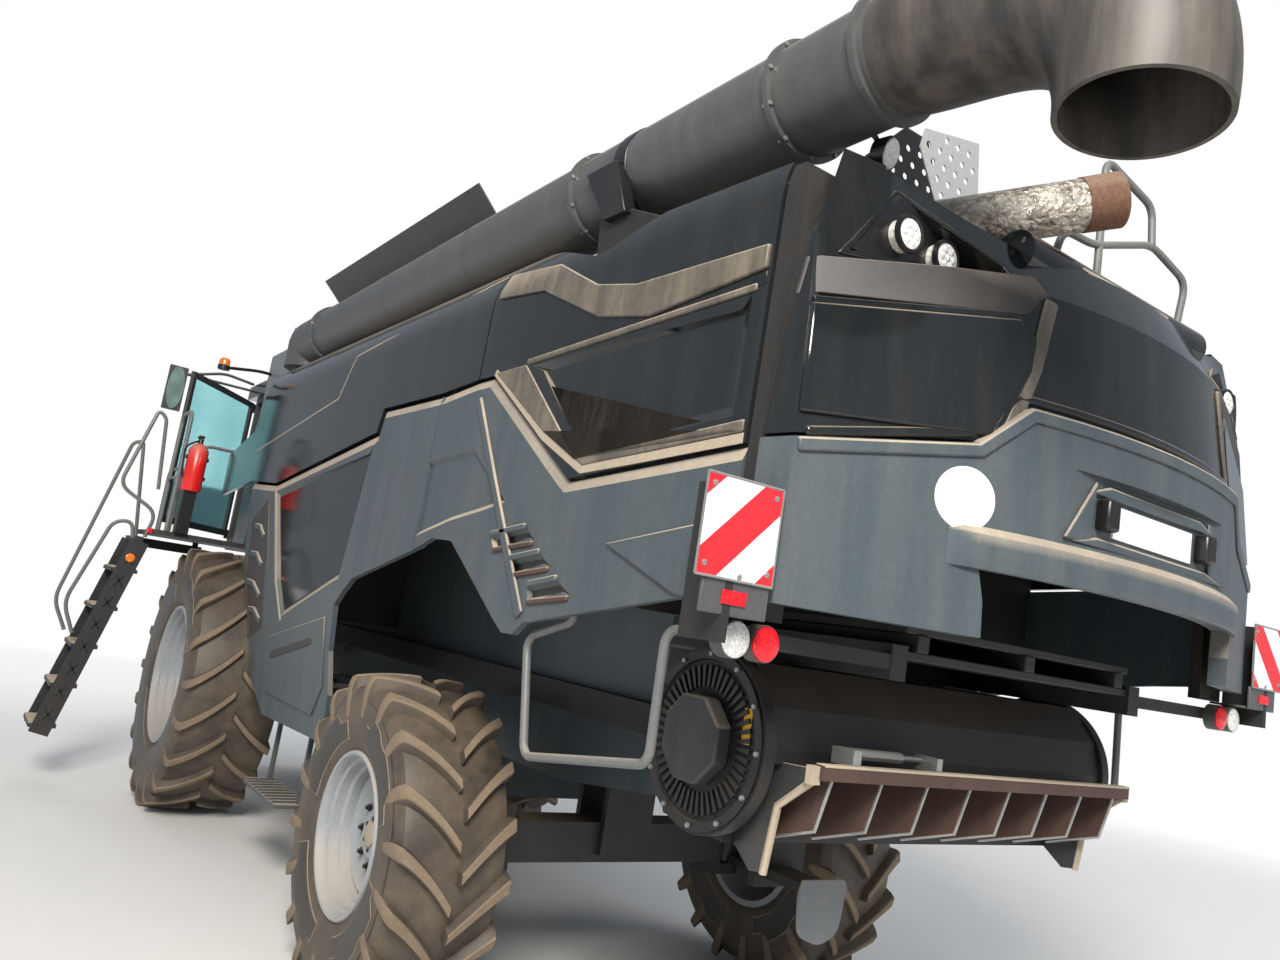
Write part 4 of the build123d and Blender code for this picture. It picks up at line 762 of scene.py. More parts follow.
def side_panels():
    """Inlays, ribs and pale edges on the body's skin."""
    # name, body, finish, lift off the skin, thickness, bevel, outline as (y, z)
    plates = [
        ("gloss_inlay", "lower_panel", "plain_gloss", 0.004 - DISH, 0.004, 0.002,
         [(-2.655, 2.5), (-0.862, 2.72), (-0.995, 2.005), (-1.205, 1.945), (-2.035, 1.715),
          (-2.18, 1.915)]),
        ("inlay_edge", "lower_panel", "beige_edge", 0.003, 0.004, 0.001,
         stroke([(-2.73, 2.552), (-0.79, 2.786)], 0.022)),
        ("inlay_post", "lower_panel", "beige_edge", 0.004, 0.006, 0.002,
         stroke([(-2.742, 2.552), (-2.245, 1.895), (-2.055, 1.64)], 0.03)),
        ("front_scallop", "lower_panel", "band", 0.004, 0.006, 0.002,
         [(-3.23, 2.33), (-2.88, 2.5), (-2.56, 2.033), (-2.5, 1.56), (-2.79, 1.47),
          (-3.06, 1.9)]),
        *scallop_ribs(),
        ("belly_panel", "lower_panel", "slate_paint", 0.012, 0.014, 0.01,
         [(-2.36, 1.5), (-1.1, 1.74), (-1.06, 1.32), (-1.22, 1.14), (-2.28, 1.14)]),
        # The belly ledge is a raised strip; its dark band finish paints the shadow under the ledge.
        ("belly_ledge", "lower_panel", "band", 0.018, 0.008, 0.004,
         stroke([(-2.18, 1.4), (-1.3, 1.58)], 0.05)),
        ("arch_leg_edge", "root", "slate_paint", 0.014, 0.016, 0.008,
         stroke([(0.56, 2.9), (1.32, 1.93)], 0.05)),
        *louvre_plates(),
        ("rear_dent", "root", "slate_paint", 0.012, 0.014, 0.011,
         [(1.862, 2.23), (2.388, 2.304), (2.365, 2.068), (2.3, 2.075)]),
        ("character_line", "root", "beige_edge", 0.002, 0.004, 0.001,
         stroke([(-3.632, 2.907), (-1.7, 3.15), (-1.5, 3.42), (0.47, 3.56)], 0.01)),
        ("hood_lip", "hood_side", "beige_edge", 0.002, 0.004, 0.001,
         stroke([(0.67, 3.026), (1.25, 2.672), (1.6, 2.515), (1.978, 2.536), (2.535, 2.572)], 0.034)),
        ("hood_shelf", "hood_side", "dusted", 0.014, 0.018, 0.011,
         [(0.56, 3.55), (1.11, 3.47), (1.49, 3.29), (1.79, 3.23), (2.53, 3.21),
          (2.53, 3.13), (1.9, 3.08), (1.54, 3.14), (1.02, 3.36), (0.56, 3.41)]),
        ("hood_swoosh", "hood_side", "plain_gloss", 0.003, 0.004, 0.001,
         [(0.56, 3.4), (1.02, 3.35), (1.54, 3.13), (1.9, 3.07), (2.53, 3.12),
          (2.53, 3.075), (1.000, 3.04), (0.68, 3.036), (0.56, 3.08)]),
        # The dish brow's pale dusted finish is dust and also a painted highlight along the top edge of the
        # gloss panel below.
        ("dish_brow", "hood_side", "dusted", 0.01, 0.016, 0.007,
         stroke([(0.985, 3.03), (1.74, 3.052), (2.495, 3.074)], 0.026)),
        ("hood_cheek", "hood_side", "dusted", 0.006, 0.01, 0.004,
         [(0.69, 3.018), (0.975, 3.02), (1.545, 2.562), (2.53, 2.632), (2.53, 2.592), (1.61, 2.53),
          (1.25, 2.69)]),
    ]
    for name, body, finish, lift, thick, bevel, outline in plates:
        Mould().draped(outline, on_skin, lift, thick, SKIN_CUTS).pair(name, finish, body=body, bevel=bevel)


def tail():
    """Facets, bands, bevel strips and blank disc on the tail."""
    # name, finish, surface, lift off it, thickness, bevel, outline as (x, z), on the left half
    plates = [
        ("tail_band", "band", on_tail, 0.01, 0.012, 0.003,
         [(1.41, 3.165), (0.612, 3.318), (0.59, 3.24), (0.62, 3.222), (0.672, 3.158), (1.425, 3.04)]),
        ("tail_facet", "dark_gloss", on_tail, 0.016, 0.018, 0.012,
         [(1.405, 3.01), (0.7, 3.135), (0.655, 3.07), (0.672, 2.965), (0.8, 2.715), (1.425, 2.655)]),
        ("facet_edge", "dark_gloss", on_tail, 0.012, 0.014, 0.004,
         stroke([(1.4, 3.022), (0.7, 3.147), (0.648, 3.072), (0.668, 2.96), (0.796, 2.706)], 0.018)),
        ("tail_pillar", "dusted", on_tail, 0.012, 0.014, 0.006,
         stroke([(0.575, 3.23), (0.64, 2.98), (0.735, 2.74)], 0.05)),
        ("pocket_edge", "dark_gloss", on_tail, 0.008, 0.012, 0.003,
         stroke([(1.085, 3.5), (0.715, 3.33), (0.682, 3.232), (1.312, 3.206), (1.085, 3.5)], 0.016)),
        ("pocket_back", "black", in_pocket, 0.002, 0.003, 0.0,
         [(1.08, 3.48), (0.725, 3.315), (0.7, 3.242), (1.29, 3.222)]),
    ]
    for name, finish, surface, lift, thick, bevel, outline in plates:
        Mould().draped(outline, surface, lift, thick, TAIL_CUTS).pair(name, finish, bevel=bevel)
    # The same columns for plates across the middle
    lip = [(1.43, 2.553), (0.85, 2.655), (0.68, 2.805)]
    gloss_lip = [(1.4, 2.6), (0.865, 2.712), (0.7, 2.865)]
    lip, gloss_lip = ([(-x, z) for x, z in half] + half[::-1] for half in (lip, gloss_lip))
    for name, finish, surface, lift, thick, bevel, outline in (
        ("apron_bevel", "slate_paint", on_apron, 0.012, 0.016, 0.011, stroke(lip, 0.044)),
        ("hood_bevel", "dark_gloss", on_tail, 0.012, 0.016, 0.01, stroke(gloss_lip, 0.03)),
        ("blank_disc", "sign", on_apron, 0.003, 0.003, 0.0, arc((0.884, 2.496), 0.1, 48)),
    ):
        Mould().draped(outline, surface, lift, thick, TAIL_CUTS).done(name, finish, bevel=bevel)


def apron_ledge():
    """Low ledge along the apron's lower rim, faded out at its ends."""
    half, fade_run, count = 0.925, 0.07, 40
    section = [(-0.004, 2.424), (0.018, 2.402), (0.024, 2.392), (0.026, 2.3), (0.02, 2.286),
               (-0.004, 2.286)]
    rows = []
    for k in range(count + 1):
        x = -half + 2 * half * k / count
        fade = min(1.0, (half - abs(x)) / fade_run)
        rows.append([(x, apron_y(x) + (out * fade if out > 0 else out), z) for out, z in section])
    Mould().rings(rows).done("apron_ledge", "slate_paint", bevel=0.005)


def plate_pod():
    """Frame and lamps round the number plate, and the lip of the hood's roll."""
    for name, top, foot, low, high in (
        ("pod_frame_top", 0.3, 0.42, 2.61, 2.65),
        ("pod_frame_low", 0.36, 0.5, 2.436, 2.47),
    ):
        outline = [(top, high), (-top, high), (-foot, low), (foot, low)]
        Mould().prism("y", outline, POD_FACE, POD_FACE + 0.017).done(name, "slate_paint", bevel=0.008)
    lamps, cheeks = Mould(), Mould()
    for side in (1, -1):
        lamps.box(sorted((side * 0.292, side * 0.362)), (POD_FACE, POD_FACE + 0.055), (2.495, 2.6))
        corners = [(side * 0.375, 2.655), (side * 0.535, 2.44), (side * 0.395, 2.44)]
        cheeks.prism("y", corners, POD_FACE, POD_FACE + 0.015)
    lamps.done("plate_lamps", "black", bevel=0.012)
    cheeks.done("pod_cheeks", "slate_paint", bevel=0.006)
    half = 0.6
    lip = [(x, 2.872 - 0.05 * (x / half) ** 2, 3.452 + 0.02 * (x / half) ** 2)
           for x in (-half, -0.4, -0.2, 0, 0.2, 0.4, half)]
    Mould().sweep(lip, 0.012).done("roll_edge", "beige_edge", slot="dark_gloss")


def work_lamps():
    """Bezels of the lamps in the tail's pockets, each with seven clear cells."""
    bezels, cells = Mould(), Mould()
    for x, z in ((1.08, 3.335), (0.89, 3.318)):
        bezels.lathe((x, 2.735, z), BACK, [(0, 0.064), (0.016, 0.062), (0.018, 0.054), (0.008, 0.052)], 36)
        cells.lathe((x, 2.744, z), BACK, [(0, 0.05), (0.004, 0.05), (0.006, 0.044)])
        for k in range(7):
            reach = 0.029 if k else 0.0
            spot = (x + reach * cos(k * pi / 3), 2.748, z + reach * sin(k * pi / 3))
            cells.lathe(spot, BACK, [(0, 0.0135), (0.004, 0.012), (0.007, 0.006), (0.008, 0.001)], 14)
    bezels.pair("work_bezel", "black")
    cells.pair("work_cells", "clear_lens")


def lamp_posts():
    """Tail lenses, plate and reflector of the lamp posts, and rims of the warning plates."""
    domed = [(0, 0.052), (0.008, 0.052), (0.014, 0.04), (0.017, 0.02), (0.018, 0.002)]
    for name, x, finish in (("white_lens", 1.508, "clear_lens"), ("red_lens", 1.39, "red_lens")):
        Mould().lathe((x, 2.657, 1.96), BACK, domed, 36).pair(name, finish)
    mould = Mould().box((1.475, 1.72), (2.728, 2.741), (2.02, 2.118))
    mould.box((1.49, 1.612), (2.56, 2.735), (2.02, 2.03))
    mould.pair("post_plate", "grey_paint", bevel=0.004)
    mould = Mould().box((1.56, 1.65), (2.74, 2.747), (2.05, 2.09))
    mould.pair("reflector", "red_lens", bevel=0.003)
    mould = Mould()
    edge = [(1.475, 2.118), (1.757, 2.118), (1.757, 2.4), (1.475, 2.4), (1.475, 2.118)]
    for (ax, az), (bx, bz) in zip(edge, edge[1:]):
        mould.sweep([(ax, SIGN_FACE, az), (bx, SIGN_FACE, bz)], 0.004, 6)
    for x, z in ((1.5, 2.15), (1.6, 2.13), (1.73, 2.15), (1.5, 2.37), (1.73, 2.37)):
        mould.lathe((x, 2.747, z), BACK, [(0, 0.009), (0.004, 0.008), (0.006, 0.003)], 12)
    mould.pair("sign_rim", "trim_silver")


def pipe_mouth():
    """Rusty mouth of the exhaust pipe."""
    end, foot = Vector((0.12, 2.83, 3.8)), Vector((0.7, 2.35, 3.58))
    way = (end - foot).normalized()
    sleeve = [(0, 0.098), (0, 0.104), (0.14, 0.106), (0.14, 0.096), (0, 0.092)]
    mould = Mould().lathe(end - way * 0.1, way, sleeve, 40, caps=False)
    mould.done("pipe_mouth", "rust", slot="wrap")


def drill(plate, holes):
    """Cuts a mould's bodies out of a plate."""
    data = bpy.data.meshes.new(f"{plate.name}_holes")
    for vert in holes.mesh.verts:
        vert.co = place(vert.co)
    holes.mesh.to_mesh(data)
    holes.mesh.free()
    cutter = bpy.data.objects.new(f"{plate.name}_holes", data)
    bpy.context.scene.collection.objects.link(cutter)
    cut = plate.modifiers.new("holes", "BOOLEAN")
    cut.object = cutter
    cut.operation = "DIFFERENCE"
    cut.solver = "EXACT"
    bpy.context.view_layer.update()
    graph = bpy.context.evaluated_depsgraph_get()
    drilled = bpy.data.meshes.new_from_object(plate.evaluated_get(graph))
    plate.modifiers.clear()
    plate.data = drilled
    bpy.data.objects.remove(cutter)


def heat_shields():
    """The two drilled plates beside the exhaust."""
    dark = [(0.86, 3.4), (0.86, 3.83), (0.56, 4.14), (0.42, 4.14), (0.3, 3.9), (0.5, 3.64),
            (0.56, 3.4)]
    pale = [(0.47, 4.09), (0.45, 4.18), (0.1, 4.26), (0.07, 4.01), (0.33, 3.88)]
    thick, pitch, row_pitch, margin = 0.006, 0.074, 0.062, 0.03
    for name, outline, start, finish in (
        ("shield_dark", dark, 2.18, "black"),
        ("shield_pale", pale, 2.186, "plate_grey"),
    ):
        mould = Mould().prism("y", outline, start, start + thick)
        mould.done(name, finish, slot="steel", replaces=[("heat_shield",)])
        holes = Mould()
        for row in range(13):
            for column in range(12):
                x, z = 0.05 + (column + row % 2 / 2) * pitch, 3.5 + row * row_pitch
                if inside(outline, x, z, margin):
                    holes.lathe((x, start - 0.01, z), BACK, [(0, 0.015), (0.03, 0.015)], 12)
        drill(bpy.data.objects[name], holes)


def tube_details():
    """Bolts, seams, saddle, collar cover and lamp of the unloading tube."""
    way = (TUBE_REAR - TUBE_FRONT).normalized()
    across = way.orthogonal().normalized()
    other = way.cross(across)
    mould = Mould()
    for run in (0.532, 4.412, 5.762):
        for k in range(10):
            spoke = across * cos(k * pi / 5) + other * sin(k * pi / 5)
            spot = TUBE_FRONT + way * (run - 0.02) + spoke * 0.222
            mould.lathe(spot, way, [(0, 0.009), (0.04, 0.009)], 6)
    mould.done("tube_bolts", "trim_silver", body="unloading_tube")
    mould = Mould()
    for run in (2.0, 3.2):
        hoop = [(0, 0.208), (0, 0.213), (0.01, 0.213), (0.01, 0.208)]
        mould.lathe(TUBE_FRONT + way * run, way, hoop, 48, caps=False)
    mould.done("tube_seams", "grey_paint", body="unloading_tube")
    mould = Mould().box((0.93, 1.01), (-1.75, -1.25), (3.77, 3.99))
    mould.done("tube_saddle", "grey_paint", bevel=0.02, body="unloading_tube")
    mould = Mould().prism("x", [(1.03, 3.95), (1.28, 3.95), (1.42, 3.67), (1.25, 3.67)], 1.3, 1.375)
    strap = [(0, 0.206), (0, 0.216), (0.1, 0.216), (0.1, 0.206)]
    mould.lathe(TUBE_FRONT + way * 4.76, way, strap, 48, caps=False)
    mould.done("tube_collar_cover", "black", bevel=0.012, body="unloading_tube")
    lamp, facing = Vector((0.97, 2.44, 3.77)), Vector((-0.3, 0.9, -0.3)).normalized()
    mould = Mould().lathe(lamp, facing, [(0, 0.045), (0.05, 0.062), (0.062, 0.06)])
    mould.bar([(0.97, 2.46, 3.76), (0.985, 2.44, 3.83), (1.05, 2.44, 3.82)], 0.03, 0.01)
    mould.done("tube_lamp", "black", body="unloading_tube")
    lens = Mould().lathe(lamp + facing * 0.06, facing, [(0, 0.056), (0.006, 0.05)])
    lens.done("tube_lamp_lens", "clear_lens", body="unloading_tube")


def chopper_covers():
    """Fan ribs, middle plate and bolts on the chopper's round side covers."""
    ribs, plate, bolts = Mould(), Mould(), Mould()
    hub = Vector(COVER)
    for k in range(48):
        turn = 2 * pi * k / 48
        ray = Vector((0, sin(turn), cos(turn)))
        side = Vector((0, cos(turn), -sin(turn))) * 0.006
        near, far = hub + ray * 0.185, hub + ray * 0.262
        row = [near - side, near + side, far + side * 1.4, far - side * 1.4]
        ribs.rings([row, [point + Vector(OUT) * 0.01 for point in row]])
    rim = [(0, 0.318), (0.012, 0.318), (0.012, 0.285), (0.002, 0.28)]
    ribs.lathe(hub - Vector(OUT) * 0.002, OUT, rim, 64)
    plate.prism("x", arc(COVER[1:], 0.165, 8, 0.39), COVER[0], COVER[0] + 0.068)
    for k in range(12):
        turn = 2 * pi * k / 12
        spot = hub + Vector((0.008, 0.302 * sin(turn), 0.302 * cos(turn)))
        bolts.lathe(spot, OUT, [(0, 0.01), (0.012, 0.009)], 6)
    ribs.pair("cover_ribs", "black")
    plate.pair("cover_plate", "dark_matte", bevel=0.01)
    bolts.pair("cover_bolts", "trim_silver")


def tailboard_details():
    """End brackets, dust, actuator and vane edges of the tailboard."""
    outline = [(1.96, 1.56), (2.48, 1.59), (2.48, 1.55), (2.33, 1.44), (2.3, 1.21), (2.24, 1.2),
               (2.06, 1.33)]
    inner, outer = 0.931, 0.943
    middle = (inner + outer) / 2
    Mould().prism("x", outline, inner, outer).pair("board_bracket", "dark_matte", bevel=0.002)
    rim = Mould().box((0.925, 0.965), (2.47, 2.5), (1.54, 1.6))
    rim.sweep([(middle, 2.478, 1.548), (middle, 2.334, 1.438), (middle, 2.303, 1.205)], 0.014, 6)
    rim.pair("bracket_edge", "beige_edge", slot="dark_matte")
    beam = Mould().box((-inner, inner), (2.478, 2.524), (1.6, 1.609))
    beam.done("beam_dust", "beige_edge", slot="dark_matte", bevel=0.003)
    actuator = Mould().rod((0.75, 2.42, 1.64), (0.45, 2.42, 1.637), 0.02)
    actuator.rod((0.45, 2.42, 1.637), (0.33, 2.42, 1.636), 0.01)
    actuator.box((0.74, 0.78), (2.4, 2.5), (1.604, 1.66))
    actuator.box((0.31, 0.34), (2.4, 2.5), (1.604, 1.655))
    actuator.done("board_actuator", "trim_silver")
    edges = Mould()
    reach, vanes = 0.86, 8
    for k in range(vanes):
        x = -reach + k * 2 * reach / (vanes - 1)
        edges.sweep([(x, 2.491, 1.556), (x, 2.442, 1.381), (x, 2.202, 1.301)], 0.0065, 6)
    edges.done("vane_edges", "trim_silver", slot="dark_matte")


def tail_underside():
    """Rounded plate at the hitch, and the frame bars under the tail."""
    y = 1.712
    corners = [(0.3, 1.01), (0.02, 1.01), (0.05, 0.78), (0.16, 0.73), (0.3, 0.78), (0.32, 0.95),
               (0.3, 1.01)]
    shape = rounded([(x, y, z) for x, z in corners], 0.05)
    plate = Mould().prism("y", [(point.x - 0.17, point.z) for point in shape[:-1]], 1.71, 1.722)
    plate.done("hitch_plate", "pale_face", bevel=0.003, slot="grey_paint")
    bars = Mould()
    for z in (1.985, 2.075):
        bars.box((-0.7, 0.7), (1.75, 2.6), (z, z + 0.03))
    for x in (-0.62, 0.0, 0.62):
        bars.box((x - 0.03, x + 0.03), (1.7, 2.61), (2.015, 2.075))
    bars.done("tail_underframe", "chassis_paint", bevel=0.004)


def ladder():
    """Hand rails, cut-outs, treads and reflector of the ladder."""
    near, far = -4.5, -4.99
    bars = Mould()
    # side of the ladder, then (x, z) of the rail's corners
    for y, corners in (
        (near, [(2.02, 2.08), (1.97, 2.3), (2.3, 2.48), (2.13, 3.17), (2.06, 3.12), (2.00, 2.5)]),
        (far, [(2.4, 1.2), (2.53, 1.45), (2.21, 2.9), (2.13, 2.93), (2.02, 2.08)]),
        (near, [(2.39, 1.22), (2.5, 1.46), (2.28, 2.17), (2.14, 2.2), (2.1, 2.02)]),
    ):
        bars.bar([(x, y, z) for x, z in corners], 0.1)
    bars.done("ladder_rails", "rail_paint", body="ladder")
    marks, treads = Mould(), Mould()
    for y in STRINGER_FACES:
        for k in range(8):
            x, z = LADDER_HEAD.lerp(LADDER_FOOT, 0.1 + 0.115 * k)
            for way in (1, -1):
                cut = stroke([(x - 0.03, z - 0.045 * way), (x + 0.03, z + 0.045 * way)], 0.014)
                marks.prism("y", cut, y - 0.0015, y + 0.0015)
    for k in range(5):
        x, z = LADDER_HEAD.lerp(LADDER_FOOT, (k + 0.8) / 5)
        treads.box((x - 0.098, x + 0.098), (far, -4.49), (z + 0.013, z + 0.02))
        for j in range(12):
            start = -4.975 + j * 0.04
            treads.box((x - 0.09, x + 0.09), (start, start + 0.01), (z + 0.02, z + 0.027))
    marks.done("stringer_cuts", "black", slot="chassis_paint", body="ladder")
    treads.done("step_treads", "beige_edge", slot="chassis_paint", body="ladder")
    disc = Mould().lathe((2.095, -4.48, 1.89), BACK, [(0, 0.036), (0.006, 0.036), (0.009, 0.028)], 28)
    disc.done("ladder_reflector", "amber", body="ladder")


def platform():
    """Lamp, guard rails and chains of the platform."""
    lamp = Mould().box((1.985, 2.03), (-4.42, -4.32), (2.115, 2.16))
    lamp.done("platform_lamp", "red_lens", bevel=0.006)
    foot = 2.15
    rails = Mould()
    rails.bar([(1.86, -4.42, foot), (1.86, -4.42, 2.72), (1.86, -5.02, 2.72), (1.86, -5.02, foot)], 0.09)
    rails.bar([(1.1, -5.1, foot), (1.1, -5.1, 3.02), (1.62, -5.1, 3.02), (1.62, -5.1, foot)], 0.09)
    rails.bar([(1.96, -3.99, 2.6), (1.96, -4.4, 2.6)], 0.05, 0.012)
    rails.done("platform_rails", "rail_paint")
    chain = Mould()
    links, half_width, half_length = 34, 0.008, 0.015
    ring = (0, 1.57, 3.14, 4.71, 6.28)
    for start, end, sag in (
        (Vector((1.95, -4.38, 3.06)), Vector((1.86, -5.02, 2.66)), 0.26),
        (Vector((1.95, -4.38, 2.7)), Vector((1.86, -5.02, 2.4)), 0.2),
    ):
        for k in range(links):
            share = (k + 0.5) / links
            spot = start.lerp(end, share) - Vector(UP) * (sag * 4 * share * (1 - share))
            turn = pi / 2 * (k % 2)
            wide = Vector((cos(turn), 0, sin(turn))) * half_width
            long = Vector(BACK) * half_length
            chain.sweep([spot + wide * cos(a) + long * sin(a) for a in ring], 0.0025, 5)
    chain.done("guard_chains", "steel")


def extinguisher():
    """Red bottle with its valve, hose, clamps and foot bracket."""
    x, y = 1.85, -3.93
    body = [(0, 0.07), (0.02, 0.078), (0.34, 0.078), (0.38, 0.055), (0.4, 0.022)]
    Mould().lathe((x, y, 2.5), UP, body).done("extinguisher", "red_paint")
    valve = Mould().lathe((x, y, 2.895), UP, [(0, 0.022), (0.05, 0.018)], 16)
    valve.box((1.83, 1.87), (-4.00, -3.9), (2.945, 2.965))
    valve.bar([(1.87, y, 2.92), (1.96, y, 2.86), (1.94, y, 2.62)], 0.05, 0.008)
    for z in (2.6, 2.76):
        valve.box((x - 0.09, x + 0.09), (y - 0.015, y + 0.015), (z, z + 0.03))
    valve.box((1.8, 1.9), (-4.02, -3.9), (2.148, 2.5))
    valve.done("extinguisher_valve", "black")


def roof_gear():
    """Beacon on its arm, antenna, mirrors and the intake's pale face."""
    x, y = 1.72, -4.4
    arm = Mould().bar([(1.1, -4.5, 3.72), (1.4, -4.45, 3.72), (x, y, 3.66)], 0.08, 0.014)
    arm.lathe((x, y, 3.64), UP, [(0, 0.05), (0.035, 0.052), (0.04, 0.044)], 28)
    arm.sweep([(1.16, -4.52, 3.9), (1.165, -4.52, 4.22)], 0.004, 6)
    arm.box((1.1, 1.2), (-4.55, -4.49), (3.86, 3.91))
    arm.done("beacon_arm", "black")
    dome = Mould().lathe((x, y, 3.68), UP, [(0, 0.046), (0.045, 0.044), (0.062, 0.03), (0.066, 0.004)], 28)
    dome.done("beacon", "amber")
    middle, face = (1.836, 3.625), -5.98
    glass = Mould().prism("y", arc(middle, 0.078, 32, tall=0.215), face, face + 0.006)
    shell = Mould().prism("y", arc(middle, 0.078 * 1.1, 32, tall=0.215 * 1.05), face - 0.055, face + 0.0015)
    shell.bar([(1.75, -6.00, 3.79), (1.4, -6.02, 3.9), (1.1, -6.00, 3.86)], 0.08)
    shell.pair("mirror_shell", "dark_matte", bevel=0.01)
    glass.pair("mirror_glass", "mirror_glass")
    intake = Mould().box((1.118, 1.298), (-3.958, -3.952), (2.9, 3.84))
    intake.done("intake_face", "pale_face", bevel=0.002)


def side_step():
    """Step between the wheels, hung from two bars that reach the housing."""
    tread, low, high = (1.19, 1.4), 0.545, 1.31
    step = Mould().box(tread, (-2.32, -1.55), (0.52, low))
    for k in range(9):
        step.box(tread, (-2.3 + k * 0.085, -2.285 + k * 0.085), (low, 0.56))
    for y in (-2.3, -1.6):
        step.box((1.22, 1.25), (y, y + 0.03), (low, high))
        step.box((0.53, 1.25), (y, y + 0.03), (high - 0.03, high))
    step.done("side_step", "grey_paint", bevel=0.003)


def deck():
    """Guard bars on the engine deck, and the cradle under the tube."""
    y = 2.6
    bars = Mould().bar([(-0.22, y, 3.46), (-0.22, y, 4.19), (-0.6, y, 4.12), (-0.62, y, 3.95)], 0.06)
    bars.bar([(0.06, 2.54, 3.46), (0.04, y, 3.78), (-0.18, y, 3.79), (-0.62, y, 3.95), (-0.93, y, 3.88),
              (-0.93, 2.54, 3.45)], 0.07)
    bars.done("deck_rails", "rail_paint")
    cradle = Mould().box((1.02, 1.25), (1.2, 1.26), (3.44, 3.735))
    cradle.box((0.94, 1.32), (1.18, 1.28), (3.725, 3.755))
    cradle.prism("x", [(1.16, 3.72), (1.4, 3.7), (1.8, 3.54), (1.74, 3.44), (1.2, 3.44)], 1.295, 1.335)
    cradle.done("tube_cradle", "chassis_paint", bevel=0.005)


def cover_labels():
    """A blank yellow label on each of the chopper's covers."""
    Mould().box((1.0495, 1.051), (2.235, 2.275), (1.62, 1.74)).pair("cover_label", "yellow")


def aim_camera():
    """The photograph's own view of the machine."""
    level_share = cos(CAMERA_PITCH)
    ahead = Vector((-sin(CAMERA_YAW) * level_share, -cos(CAMERA_YAW) * level_share, sin(CAMERA_PITCH)))
    level = ahead.cross(Vector(UP)).normalized()
    upright = level.cross(ahead)
    right = level * cos(CAMERA_ROLL) + upright * sin(CAMERA_ROLL)
    above = upright * cos(CAMERA_ROLL) - level * sin(CAMERA_ROLL)
    camera = bpy.data.objects.new("camera", bpy.data.cameras.new("camera"))
    camera.data.lens = CAMERA_LENS
    camera.data.clip_end = 200
    turn = Matrix((right, above, -ahead)).transposed().to_4x4()
    camera.matrix_world = Matrix.Translation(place(CAMERA_PLACE)) @ turn
    bpy.context.scene.collection.objects.link(camera)
    bpy.context.scene.camera = camera


def area_lamp(name, spot, size, power, colour=(1.0, 1.0, 1.0)):
    """A soft lamp that faces the machine; only the key lamp shows in reflections."""
    data = bpy.data.lights.new(name, "AREA")
    data.energy = power
    data.size = size
    data.color = colour
    lamp = bpy.data.objects.new(name, data)
    lamp.location = place(spot)
    lamp.rotation_euler = (place((0, -1, 1.5)) - lamp.location).to_track_quat("-Z", "Y").to_euler()
    lamp.visible_glossy = name == "key"
    bpy.context.scene.collection.objects.link(lamp)


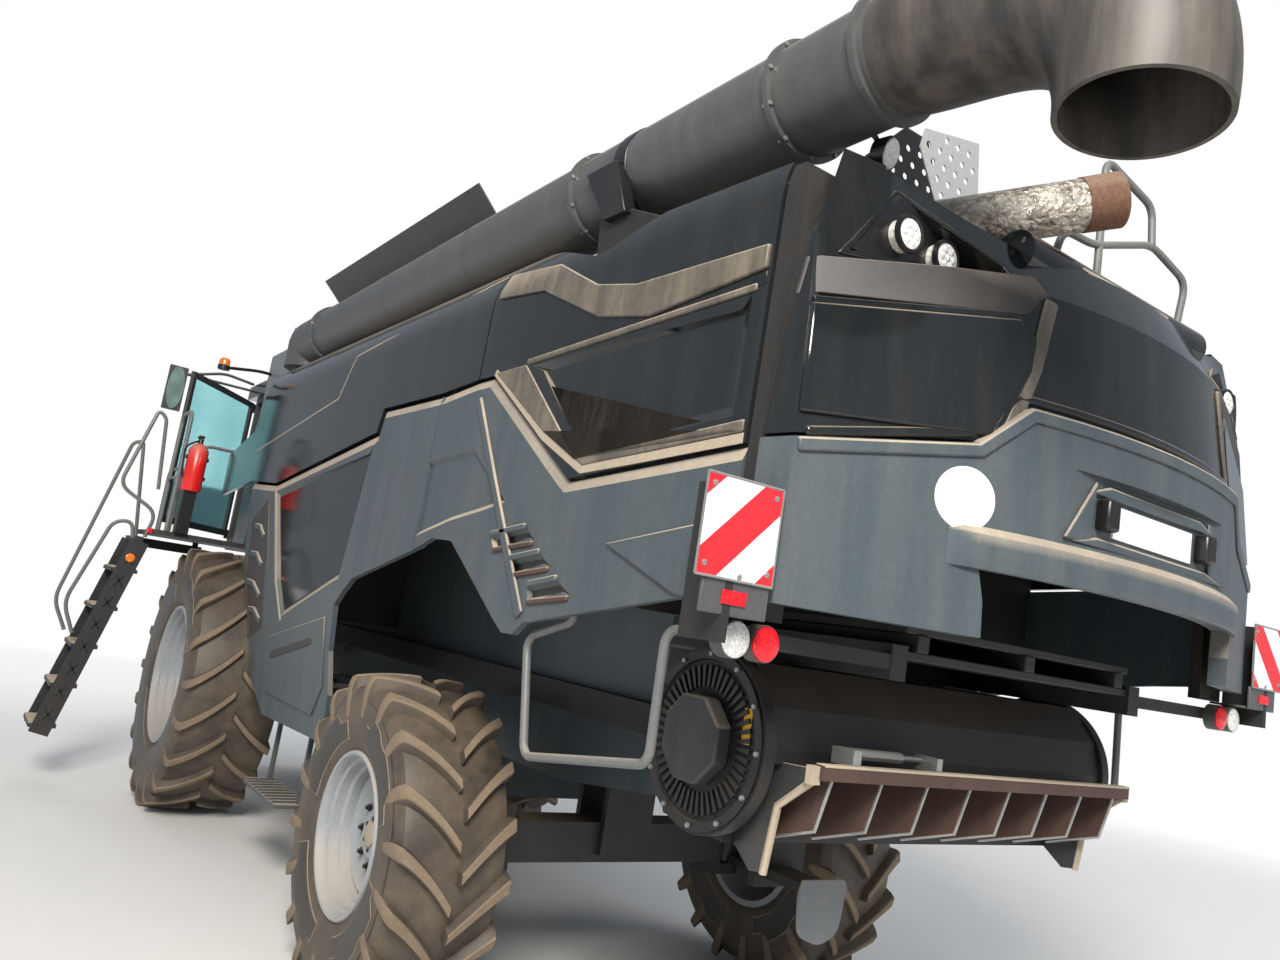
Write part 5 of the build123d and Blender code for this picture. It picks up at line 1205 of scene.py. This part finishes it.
def light_studio():
    """A world that is white to the camera and dimmer to the machine, and large soft lamps."""
    scene = bpy.context.scene
    scene.view_settings.view_transform = "Standard"
    world = bpy.data.worlds.new("studio")
    world.use_nodes = True
    tree = world.node_tree
    background = tree.nodes["Background"]
    seen = tree.nodes.new("ShaderNodeLightPath").outputs["Is Camera Ray"]
    strength = tree.nodes.new("ShaderNodeMapRange")
    strength.inputs["To Min"].default_value = 0.42
    strength.inputs["To Max"].default_value = 1.0
    tree.links.new(seen, strength.inputs["Value"])
    tree.links.new(strength.outputs["Result"], background.inputs["Strength"])
    sky = tree.nodes.new("ShaderNodeMix")
    sky.data_type = "RGBA"
    sky.inputs[6].default_value = (0.82, 0.9, 1.0, 1.0)
    sky.inputs[7].default_value = (1.0, 1.0, 1.0, 1.0)
    tree.links.new(seen, sky.inputs[0])
    tree.links.new(sky.outputs[2], background.inputs["Color"])
    scene.world = world
    area_lamp("key", (7.0, 9.0, 9.0), 4.0, 2600, (1.0, 0.95, 0.87))
    area_lamp("fill", (-9.0, 5.0, 6.0), 8.0, 450)
    area_lamp("front", (2.0, -13.0, 7.0), 8.0, 500)


def lay_floor():
    """A wide pale floor that turns white far from the machine."""
    mesh = bpy.data.meshes.new("floor")
    reach = 60
    grid = bmesh.new()
    corners = ((-1, -1), (1, -1), (1, 1), (-1, 1))
    grid.faces.new([grid.verts.new((x * reach, y * reach, 0)) for x, y in corners])
    grid.to_mesh(mesh)
    grid.free()
    floor = bpy.data.objects.new("floor", mesh)
    floor.location.z = -0.001
    sheet = Sheet("pale_floor")
    fine = sheet.noise(3.0, 6.0)
    sheet.paint(sheet.mix(sheet.span(fine, 0.3, 0.7), (0.715, 0.705, 0.69), (0.735, 0.725, 0.71)))
    sheet.set(Roughness=0.85)
    length = sheet.node("ShaderNodeVectorMath", operation="LENGTH")
    sheet.feed(length.inputs[0], sheet.coords)
    far = sheet.span(length.outputs["Value"], 6.5, 15.0)
    path = sheet.node("ShaderNodeLightPath")
    seen = path.outputs["Is Camera Ray"]
    for ray in ("Is Glossy Ray", "Is Transmission Ray"):
        seen = sheet.math("MAXIMUM", seen, path.outputs[ray])
    glow = sheet.node("ShaderNodeEmission")
    glow.inputs["Color"].default_value = (1.0, 1.0, 1.0, 1.0)
    blend = sheet.node("ShaderNodeMixShader")
    sheet.feed(blend.inputs[0], sheet.math("MULTIPLY", far, seen))
    sheet.feed(blend.inputs[1], sheet.shader.outputs[0])
    sheet.feed(blend.inputs[2], glow.outputs[0])
    sheet.feed(sheet.tree.nodes["Material Output"].inputs["Surface"], blend.outputs[0])
    mesh.materials.append(sheet.material)
    bpy.context.scene.collection.objects.link(floor)


aim_camera()
light_studio()
lay_floor()
dress_nodes()
for wheel in (FRONT, REAR):
    tyres(wheel)
    wall_fields(wheel)
    rims(wheel)
for make in (side_panels, tail, apron_ledge, plate_pod, work_lamps, lamp_posts, pipe_mouth, heat_shields,
             tube_details, chopper_covers, tailboard_details, tail_underside, ladder, platform, extinguisher,
             roof_gear, side_step, deck, cover_labels):
    make()
